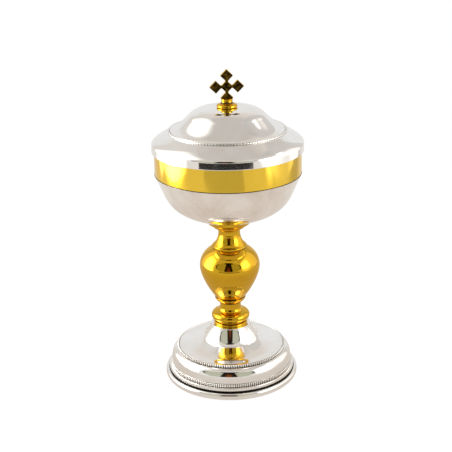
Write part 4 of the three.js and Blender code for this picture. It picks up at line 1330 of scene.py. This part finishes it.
class CIBORIUM_OT_hardware(bpy.types.Operator):
    """Makes the tie rod, the stud, their nuts and their washers"""
    bl_idname = "ciborium.hardware"
    bl_label = "Hardware"

    def execute(self, context):
        sizes = context.scene.ciborium_hardware
        chamfer = sizes.nut_chamfer / MM
        for name, node, pitch, threaded, material, slot, body in (
                ("tie_rod_threaded", "tie_rod", sizes.rod_pitch, ROD_THREADED,
                 "zinc_plated_steel", "steel", "stand"),
                ("finial_stud_threaded", "finial_stud", sizes.stud_pitch, STUD_THREADED,
                 "turned_brass", "plain_brass", "lid")):
            mesh = rod_mesh(name, node, pitch / MM, threaded)
            place(name, mesh, finish(material), node, body)
        for name, node, bore, flats, material, slot, body in (
                ("foot_hex_nut", "foot_nut", FOOT_NUT_BORE, FOOT_NUT_FLATS,
                 "zinc_plated_steel", "steel", "stand"),
                ("lid_hex_nut", "lid_nut", LID_NUT_BORE, LID_NUT_FLATS,
                 "turned_brass", "plain_brass", "lid")):
            mesh = nut_mesh(name, node, bore, flats, chamfer)
            place(name, mesh, finish(material), node, body)
        mesh = split_washer_mesh(
            "foot_split_washer", "spring_washer", ROD_BORE, sizes.washer_split)
        place(
            "foot_split_washer", mesh, finish("zinc_plated_steel"), "spring_washer", "stand")
        turned_piece(
            "foot_flat_washer", "foot_washer", washer_outline("foot_washer", ROD_BORE),
            "turned_brass", SMALL_SIDES)
        turned_piece(
            "lid_flat_washer", "lid_washer", washer_outline("lid_washer", STUD_BORE),
            "turned_brass", SMALL_SIDES)
        boss = frame["nodes"]["cup_boss"]
        boss.data.materials.clear()
        boss.data.materials.append(finish("turned_brass"))
        return {"FINISHED"}


# Studio

# What the two softboxes show in mirrors, in metres and in levels where 1 is white. near, far and
# height are the cloth's edges, lit is its level at each Y and fade the heights between which that
# fades out, core_y and core_z are the edges of the glowing middle and core_level is its level, and
# cloth is the level of the unlit cloth. A mark is a place, an inner and an outer radius, how much
# longer it is along Y, and the level that it adds.
LEFT_BOX = {
    "near": -0.36, "far": 0.9, "height": 1.7,
    "lit": ((-0.37, 0), (-0.32, 0.35), (-0.15, 0.8), (0.1, 0.9), (0.3, 0.75), (0.5, 0.6),
            (0.56, 0.05)),
    "fade": (1.05, 1.6),
    "core_y": (-0.33, -0.08, 0.0, 0.3),
    "core_z": (-0.06, 0.03, 0.4, 0.75),
    "core_level": 5.5,
    "cloth": 0.7,
    "marks": (),
}
RIGHT_BOX = {
    "near": -0.6, "far": 0.9, "height": 1.4,
    "lit": ((-0.62, 0), (-0.57, 0.5), (-0.4, 0.85), (-0.1, 0.85), (0.1, 0.7), (0.48, 0.5),
            (0.53, 0.05)),
    "fade": (0.55, 0.85),
    "core_y": (-0.6, -0.42, -0.25, 0.0),
    "core_z": (0.06, 0.25, 0.4, 0.7),
    "core_level": 3.5,
    "cloth": 0.64,
    "marks": (
        ((0.58, 0.2, 0.8), 0.0, 0.09, 1.7, 1.8),
        ((0.58, 0.2, 1.35), 0.1, 0.45, 1.0, -0.07),
        ((0.58, 0.0, 0), 0.04, 0.14, 1.5, -0.45),
    ),
}
CARD_X = 0.58
LIT_REACH = (-0.7, 0.9)
LAMP_TINT = "#FFFCF8"

# The lamps themselves: where they stand and what they are aimed at, and their width and height.
LAMP_AIM = (0, 0, 0.15)
LEFT_LAMP = ((-0.62, 0.16, 0.82), 1.05, 1.0)
RIGHT_LAMP = ((0.62, -0.14, 0.6), 0.9, 0.62)

# A dark strip on the table in front, seen only by mirrors, a painted dark reflection, as radii and
# angles round the axis.
DARK_STRIP_INNER = 0.7
DARK_STRIP_OUTER = 0.97
DARK_STRIP_START = radians(-42)
DARK_STRIP_END = radians(36)
DARK_STRIP_HEIGHT = 0.001
DARK_STRIP_STEPS = 32

# The tent: its cloth's colours with the elevations between which one gives way to the next, and
# the opening in front, an oval 51 by 28 degrees about a point 6 degrees left and 20 degrees up.
LOW_WALL = "#ECEDEE"
HIGH_WALL = "#E2DCD6"
CEILING = "#CDC8C3"
WALL_RISE = (radians(22), radians(46))
CEILING_RISE = (radians(50), radians(68))
ROOM = "#BDBFAC"
OPENING_LEFT = radians(6)
OPENING_UP = radians(20)
OPENING_HALF_WIDTH = radians(51)
OPENING_HALF_HEIGHT = radians(28)
OPENING_EDGE = (0.94, 1.06)

# The dark shape in the opening: its middle, its half width at the horizon and how fast that
# narrows upwards, its top, a bar over it, a rim at both sides, and a warm streak in it.
SHAPE_LEFT = radians(5)
SHAPE_HALF_WIDTH = 0.28
SHAPE_NARROWING = -0.12
SHAPE_EDGE = 0.02
SHAPE_TOP = (radians(41), radians(46))
BAR_FOOT = (radians(39), radians(41))
BAR_END = (radians(18), radians(21))
RIM_HEIGHT = (0.35, 0.5)
RIM_EDGE = (0.82, 0.88)
SHAPE_DARK = "#1C1814"
STREAK = "#8A4A1E"
STREAK_EDGE = (0.03, 0.16)
STREAK_RISE = (radians(4), radians(30))
STREAK_SHARE = 0.9

# The table cloth: what mirrors see of it near the foot, a painted shadow that is darker and warm,
# and far off, its painted pools of light and one patch of painted shade, and the part in front
# that is painted dim in mirrors.
TABLE_HALF = 3.0
TABLE_DROP = 0.0002
CLOTH_LOW = "#EFEFEE"
CLOTH_HIGH = "#F4F4F4"
MIRRORED_NEAR_SHADED = "#DBD3CB"
MIRRORED_FAR = "#EBE8E3"
MIRRORED_REACH = (0.05, 0.35)
TABLE_PAINTED_LIGHT = (
    ((-0.60, 0.34, 0), 0.075, 0.12, 1.0, 1.6),
    ((0.62, -0.30, 0), 0.065, 0.115, 1.0, 1.2),
    ((0.58, 0.32, 0), 0.1, 0.25, 1.0, -0.3),
)
DIM_FRONT = (-0.5, -0.49)
DIM_LEFT = 0.07
DIM_HALF_WIDTH = (0.3, 0.31)
DIM_SHARE = 0.3
SHADOW_SHARE = 0.1
SHADOW_REACH = (0.3, 0.9)


def softbox(name, place_at, width, height, power):
    """A rectangular lamp that lights matt surfaces. The light cards stand in for it in mirrors."""
    lamp = bpy.data.lights.new(name, "AREA")
    lamp.shape = "RECTANGLE"
    lamp.size = width
    lamp.size_y = height
    lamp.energy = power
    box = bpy.data.objects.new(name, lamp)
    bpy.context.scene.collection.objects.link(box)
    away = Vector(place_at) - Vector(LAMP_AIM)
    box.rotation_euler = away.to_track_quat("Z", "Y").to_euler()
    box.location = place_at
    box.visible_camera = False
    box.visible_glossy = False


def stage_sheet(name, points, faces, material):
    """A sheet that belongs to the studio and not to the object."""
    mesh = bpy.data.meshes.new(name)
    mesh.from_pydata(points, [], faces)
    mesh.update()
    mesh.materials.append(material)
    sheet = bpy.data.objects.new(name, mesh)
    bpy.context.scene.collection.objects.link(sheet)
    return sheet


def with_light_spots(tree, spot, level, marks):
    """Adds soft round spots of more or less light to a level: lamp spots on the light cards, and
    painted light and painted shade on the table that mirrors see.
    """
    for place_at, inner, outer, stretch, added in marks:
        squeeze = (1.0, 1 / stretch, 1.0)
        squeezed = add(tree, "VectorMath", {0: spot, 1: squeeze}, operation="MULTIPLY")
        middle = [part * by for part, by in zip(place_at, squeeze)]
        distance = add(tree, "VectorMath", {0: squeezed, 1: middle}, operation="DISTANCE")
        mark = add(
            tree, "MapRange", {0: distance, 1: inner, 2: outer, 3: added, 4: 0.0},
            interpolation_type="SMOOTHSTEP")
        level = add(tree, "Math", {0: level, 1: mark}, operation="ADD")
    return level


def ramp(tree, value, low_end, high_end, steps):
    """Feeds a value between low_end and high_end through a ramp. steps holds pairs of the value
    and the level there, and the levels are at most 1."""
    share = add(tree, "MapRange", {0: value, 1: low_end, 2: high_end})
    node = add(tree, "ValToRGB", {0: share})
    knots = node.color_ramp.elements
    for at, (where, level) in enumerate(steps):
        knot = knots[at] if at < 2 else knots.new(1.0)
        knot.position = (where - low_end) / (high_end - low_end)
        knot.color = (level, level, level, 1)
    return node


def window(tree, value, edges):
    """1 between the two middle edges, falling smoothly to 0 at the outer ones."""
    rise = add(
        tree, "MapRange", {0: value, 1: edges[0], 2: edges[1]}, interpolation_type="SMOOTHSTEP")
    fall = add(
        tree, "MapRange", {0: value, 1: edges[2], 2: edges[3], 3: 1.0, 4: 0.0},
        interpolation_type="SMOOTHSTEP")
    return add(tree, "Math", {0: rise, 1: fall}, operation="MULTIPLY")


def softbox_cloth(name, lit, fade, core_y, core_z, core_level, cloth, marks):
    """Softbox as a mirror shows it: a bright middle on lit cloth that fades out upwards."""
    material, tree = start_material(name)
    spot = add(tree, "TexCoord").outputs["Object"]
    at = add(tree, "SeparateXYZ", {0: spot})
    along, height = at.outputs[1], at.outputs[2]
    haze = ramp(tree, along, *LIT_REACH, lit)
    fading = add(
        tree, "MapRange", {0: height, 1: fade[0], 2: fade[1], 3: 1.0, 4: 0.0},
        interpolation_type="SMOOTHSTEP")
    level = add(tree, "Math", {0: haze, 1: fading, 2: cloth}, operation="MULTIPLY_ADD")
    glow = add(
        tree, "Math", {0: window(tree, along, core_y), 1: window(tree, height, core_z)},
        operation="MULTIPLY")
    level = add(tree, "Math", {0: glow, 1: core_level, 2: level}, operation="MULTIPLY_ADD")
    level = with_light_spots(tree, spot, level, marks)
    glowing = add(tree, "Emission", {0: linear(LAMP_TINT), 1: level})
    add(tree, "OutputMaterial", {0: glowing})
    return material


def light_card(side, x, near, far, height, **look):
    """An upright rectangle at x, from near to far in Y, that only mirrors see. look is what
    softbox_cloth takes."""
    card = stage_sheet(
        "light_card_" + side,
        [(x, near, 0), (x, far, 0), (x, far, height), (x, near, height)], [(0, 1, 2, 3)],
        softbox_cloth(side + "_softbox_cloth", **look))
    card.visible_camera = False
    card.visible_diffuse = False
    card.visible_shadow = False


def tent_cloth(tree, elevation):
    """Cloth of the tent: pale walls from the table up, and a grey ceiling over them."""
    upper = add(
        tree, "MapRange", {0: elevation, 1: WALL_RISE[0], 2: WALL_RISE[1]},
        interpolation_type="SMOOTHSTEP")
    walls = add(
        tree, "Mix", {0: upper, 6: linear(LOW_WALL), 7: linear(HIGH_WALL)}, data_type="RGBA")
    overhead = add(
        tree, "MapRange", {0: elevation, 1: CEILING_RISE[0], 2: CEILING_RISE[1]},
        interpolation_type="SMOOTHSTEP")
    return add(tree, "Mix", {0: overhead, 6: walls, 7: linear(CEILING)}, data_type="RGBA")


def opening_shape(tree, azimuth, elevation):
    """The opening's oval: x^2 + y^2 with x and y as shares of its half width and half height,
    which is 1 at its edge, and y alone."""
    across = add(tree, "Math", {0: azimuth, 1: OPENING_LEFT}, operation="ADD")
    across = add(tree, "Math", {0: across, 1: OPENING_HALF_WIDTH}, operation="DIVIDE")
    upward = add(tree, "Math", {0: elevation, 1: OPENING_UP}, operation="SUBTRACT")
    upward = add(tree, "Math", {0: upward, 1: OPENING_HALF_HEIGHT}, operation="DIVIDE")
    squared = add(tree, "Math", {0: across, 1: 2.0}, operation="POWER")
    oval = add(
        tree, "Math", {0: upward, 1: upward, 2: squared}, operation="MULTIPLY_ADD")
    return oval, upward


def dark_shape(tree, azimuth, elevation, oval, upward):
    """Where the opening is dark, and the colour there."""
    half_width = add(
        tree, "Math", {0: elevation, 1: SHAPE_NARROWING, 2: SHAPE_HALF_WIDTH},
        operation="MULTIPLY_ADD")
    offset = add(tree, "Math", {0: azimuth, 1: SHAPE_LEFT}, operation="ADD")
    offset = add(tree, "Math", {0: offset}, operation="ABSOLUTE")
    outside = add(tree, "Math", {0: offset, 1: half_width}, operation="SUBTRACT")
    body = add(
        tree, "MapRange", {0: outside, 1: -SHAPE_EDGE, 2: SHAPE_EDGE, 3: 1.0, 4: 0.0},
        interpolation_type="SMOOTHSTEP")
    below_top = add(
        tree, "MapRange", {0: elevation, 1: SHAPE_TOP[0], 2: SHAPE_TOP[1], 3: 1.0, 4: 0.0})
    body = add(tree, "Math", {0: body, 1: below_top}, operation="MULTIPLY")
    bar_high = add(tree, "MapRange", {0: elevation, 1: BAR_FOOT[0], 2: BAR_FOOT[1]})
    bar_wide = add(
        tree, "MapRange", {0: offset, 1: BAR_END[0], 2: BAR_END[1], 3: 1.0, 4: 0.0})
    bar = add(tree, "Math", {0: bar_high, 1: bar_wide}, operation="MULTIPLY")
    level_part = add(tree, "Math", {0: upward}, operation="ABSOLUTE")
    rim_part = add(
        tree, "MapRange", {0: level_part, 1: RIM_HEIGHT[0], 2: RIM_HEIGHT[1], 3: 1.0, 4: 0.0})
    rim_edge = add(tree, "MapRange", {0: oval, 1: RIM_EDGE[0], 2: RIM_EDGE[1]})
    rim = add(tree, "Math", {0: rim_part, 1: rim_edge}, operation="MULTIPLY")
    dark = add(tree, "Math", {0: body, 1: bar}, operation="MAXIMUM")
    dark = add(tree, "Math", {0: dark, 1: rim}, operation="MAXIMUM")
    streak = add(
        tree, "MapRange", {0: offset, 1: STREAK_EDGE[0], 2: STREAK_EDGE[1], 3: 1.0, 4: 0.0},
        interpolation_type="SMOOTHSTEP")
    streak_low = add(
        tree, "MapRange",
        {0: elevation, 1: STREAK_RISE[0], 2: STREAK_RISE[1], 3: STREAK_SHARE, 4: 0.0})
    streak = add(tree, "Math", {0: streak, 1: streak_low}, operation="MULTIPLY")
    colour = add(
        tree, "Mix", {0: streak, 6: linear(SHAPE_DARK), 7: linear(STREAK)}, data_type="RGBA")
    return dark, colour


def tent_world():
    """White tent round the object. The camera sees plain white. Mirrors see the cloth and, in
    front, the tent's oval opening with a dim room and a dark shape in it. The azimuth is
    arctan2(x, -y) and the elevation arcsin(z) of the ray's direction."""
    world = bpy.data.worlds.new("light_tent")
    bpy.context.scene.world = world
    world.use_nodes = True
    tree = world.node_tree
    tree.nodes.clear()
    way = add(tree, "SeparateXYZ", {0: add(tree, "TexCoord").outputs["Generated"]})
    forward = add(tree, "Math", {0: way.outputs[1], 1: -1.0}, operation="MULTIPLY")
    azimuth = add(tree, "Math", {0: way.outputs[0], 1: forward}, operation="ARCTAN2")
    elevation = add(tree, "Math", {0: way.outputs[2]}, operation="ARCSINE")
    oval, upward = opening_shape(tree, azimuth, elevation)
    opening = add(
        tree, "MapRange", {0: oval, 1: OPENING_EDGE[0], 2: OPENING_EDGE[1], 3: 1.0, 4: 0.0},
        interpolation_type="SMOOTHSTEP")
    front = add(
        tree, "Mix", {0: opening, 6: tent_cloth(tree, elevation), 7: linear(ROOM)},
        data_type="RGBA")
    dark, colour = dark_shape(tree, azimuth, elevation, oval, upward)
    dark = add(tree, "Math", {0: dark, 1: opening}, operation="MULTIPLY")
    seen = add(tree, "Mix", {0: dark, 6: front, 7: colour}, data_type="RGBA")
    rays = add(tree, "LightPath")
    shown = add(
        tree, "Mix", {0: rays.outputs["Is Camera Ray"], 6: seen, 7: (1, 1, 1, 1)},
        data_type="RGBA")
    background = add(tree, "Background", {0: shown, 1: 1.0})
    add(tree, "OutputWorld", {0: background})


def mirrored_cloth(tree, spot, near):
    """The table as mirrors see it, painted as a glow rather than lit: a painted shadow, darker and
    a little warm, near the foot, painted pools of light beside the lamps and painted shade in
    front."""
    # Painted shadow of the object: darker and warmer near the foot.
    away = add(
        tree, "MapRange", {0: near, 1: MIRRORED_REACH[0], 2: MIRRORED_REACH[1]},
        interpolation_type="SMOOTHSTEP")
    colour = add(
        tree, "Mix", {0: away, 6: linear(MIRRORED_NEAR_SHADED), 7: linear(MIRRORED_FAR)},
        data_type="RGBA")
    # Painted pools of light beside the lamps, and one patch of painted shade.
    lit = with_light_spots(tree, spot, 1.0, TABLE_PAINTED_LIGHT)
    at = add(tree, "SeparateXYZ", {0: spot})
    # Painted shade over the part in front.
    in_front = add(
        tree, "MapRange", {0: at.outputs[1], 1: DIM_FRONT[0], 2: DIM_FRONT[1], 3: 1.0, 4: 0.0})
    centred = add(tree, "Math", {0: at.outputs[0], 1: DIM_LEFT}, operation="ADD")
    centred = add(tree, "Math", {0: centred}, operation="ABSOLUTE")
    between = add(
        tree, "MapRange",
        {0: centred, 1: DIM_HALF_WIDTH[0], 2: DIM_HALF_WIDTH[1], 3: DIM_SHARE, 4: 0.0})
    shade = add(tree, "Math", {0: in_front, 1: between}, operation="MULTIPLY")
    bright = add(tree, "Math", {0: 1.0, 1: shade}, operation="SUBTRACT")
    strength = add(tree, "Math", {0: lit, 1: bright}, operation="MULTIPLY")
    return add(tree, "Emission", {0: colour, 1: strength})


def table_cloth():
    """White table cloth. The camera sees it almost at white, with the object's soft shadow."""
    material, tree = start_material("white_cloth")
    spot = add(tree, "TexCoord").outputs["Object"]
    weave = add(tree, "TexNoise", {"Vector": spot, "Scale": WEAVE_SCALE, "Detail": 2.0})
    cloth = add(
        tree, "Mix", {0: weave, 6: linear(CLOTH_LOW), 7: linear(CLOTH_HIGH)}, data_type="RGBA")
    diffuse = add(tree, "BsdfDiffuse", {0: cloth})
    near = add(tree, "VectorMath", {0: spot}, operation="LENGTH")
    in_mirror = mirrored_cloth(tree, spot, near)
    white = add(tree, "Emission", {0: (1, 1, 1, 1), 1: 1.0})
    shadow = add(
        tree, "MapRange",
        {0: near, 1: SHADOW_REACH[0], 2: SHADOW_REACH[1], 3: SHADOW_SHARE, 4: 0.0})
    to_camera = add(tree, "MixShader", {0: shadow, 1: white, 2: diffuse})
    rays = add(tree, "LightPath")
    mixed = add(
        tree, "MixShader", {0: rays.outputs["Is Glossy Ray"], 1: diffuse, 2: in_mirror})
    mixed = add(
        tree, "MixShader", {0: rays.outputs["Is Camera Ray"], 1: mixed, 2: to_camera})
    add(tree, "OutputMaterial", {0: mixed})
    return material


def dark_reflection_sheet():
    """A matt, very dark sheet with a fine grain, a painted dark reflection for mirrors."""
    material, tree = start_material("dark_reflection_sheet")
    spot = add(tree, "TexCoord").outputs["Object"]
    grain = add(tree, "TexNoise", {"Vector": spot, "Scale": DARK_STRIP_GRAIN_SCALE, "Detail": 2.0})
    colour = add(
        tree, "Mix", {0: grain, 6: linear("#141210"), 7: linear("#1E1C1A")}, data_type="RGBA")
    diffuse = add(tree, "BsdfDiffuse", {0: colour})
    add(tree, "OutputMaterial", {0: diffuse})
    return material


def dark_reflection_strip():
    """A level dark strip that only mirrors see, a painted dark reflection, from (r sin a, -r cos a)
    at the inner radius to the same at the outer one."""
    angle = np.linspace(DARK_STRIP_START, DARK_STRIP_END, DARK_STRIP_STEPS + 1)
    rim = np.stack([np.sin(angle), -np.cos(angle), np.zeros(len(angle))], 1)
    points = np.vstack([rim * DARK_STRIP_INNER, rim * DARK_STRIP_OUTER]) + (0, 0, DARK_STRIP_HEIGHT)
    at = np.arange(DARK_STRIP_STEPS)
    beyond = at + len(angle)
    faces = np.stack([at, beyond, beyond + 1, at + 1], 1)
    card = stage_sheet("dark_reflection_strip", points.tolist(), faces.tolist(), dark_reflection_sheet())
    card.visible_camera = False
    card.visible_shadow = False


class CIBORIUM_OT_studio(bpy.types.Operator):
    """Makes the table, the light tent, the two softboxes and the camera"""
    bl_idname = "ciborium.studio"
    bl_label = "Studio"

    def execute(self, context):
        sizes = context.scene.ciborium_studio
        half, drop = TABLE_HALF, -TABLE_DROP
        stage_sheet(
            "table_cloth",
            [(-half, -half, drop), (half, -half, drop), (half, half, drop), (-half, half, drop)],
            [(0, 1, 2, 3)], table_cloth())
        dark_reflection_strip()
        light_card("left", -CARD_X, **LEFT_BOX)
        light_card("right", CARD_X, **RIGHT_BOX)
        softbox("softbox_left", *LEFT_LAMP, sizes.left_power)
        softbox("softbox_right", *RIGHT_LAMP, sizes.right_power)
        tent_world()

        lens = bpy.data.cameras.new("studio_camera")
        lens.sensor_width = 36
        lens.lens = sizes.camera_lens
        lens.clip_start = 0.05
        camera = bpy.data.objects.new("studio_camera", lens)
        context.scene.collection.objects.link(camera)
        turn = (
            Matrix.Rotation(sizes.camera_yaw, 4, "Z")
            @ Matrix.Rotation(pi / 2 - sizes.camera_pitch, 4, "X")
            @ Matrix.Rotation(sizes.camera_roll, 4, "Z"))
        camera.matrix_world = Matrix.Translation(sizes.camera_place) @ turn
        context.scene.camera = camera
        context.scene.view_settings.view_transform = "Standard"
        return {"FINISHED"}


OPERATORS = (
    CIBORIUM_OT_studio,
    CIBORIUM_OT_foot,
    CIBORIUM_OT_stem,
    CIBORIUM_OT_bowl,
    CIBORIUM_OT_lid,
    CIBORIUM_OT_cross,
    CIBORIUM_OT_hardware,
)

GROUPS = {
    "ciborium_finishes": FinishColours,
    "ciborium_bands": BandSizes,
    "ciborium_cross": CrossSizes,
    "ciborium_hardware": HardwareSizes,
    "ciborium_studio": StudioSizes,
}


class CIBORIUM_PT_panel(bpy.types.Panel):
    """Lists the pieces and their sizes"""
    bl_label = "Ciborium"
    bl_idname = "CIBORIUM_PT_panel"
    bl_space_type = "VIEW_3D"
    bl_region_type = "UI"
    bl_category = "Ciborium"

    def draw(self, context):
        for operator in OPERATORS:
            self.layout.operator(operator.bl_idname)
        for key in GROUPS:
            group = getattr(context.scene, key)
            box = self.layout.box()
            for prop in group.bl_rna.properties:
                if prop.identifier not in {"rna_type", "name"}:
                    box.prop(group, prop.identifier)


CLASSES = (*GROUPS.values(), *OPERATORS, CIBORIUM_PT_panel)


def register():
    for cls in CLASSES:
        bpy.utils.register_class(cls)
    for key, group in GROUPS.items():
        setattr(bpy.types.Scene, key, PointerProperty(type=group))


def unregister():
    for key in GROUPS:
        delattr(bpy.types.Scene, key)
    for cls in reversed(CLASSES):
        bpy.utils.unregister_class(cls)


def main():
    """Makes every piece and the studio."""
    register()
    bpy.ops.ciborium.studio()
    bpy.ops.ciborium.foot()
    bpy.ops.ciborium.stem()
    bpy.ops.ciborium.bowl()
    bpy.ops.ciborium.lid()
    bpy.ops.ciborium.cross()
    bpy.ops.ciborium.hardware()


if __name__ == "__main__":
    main()
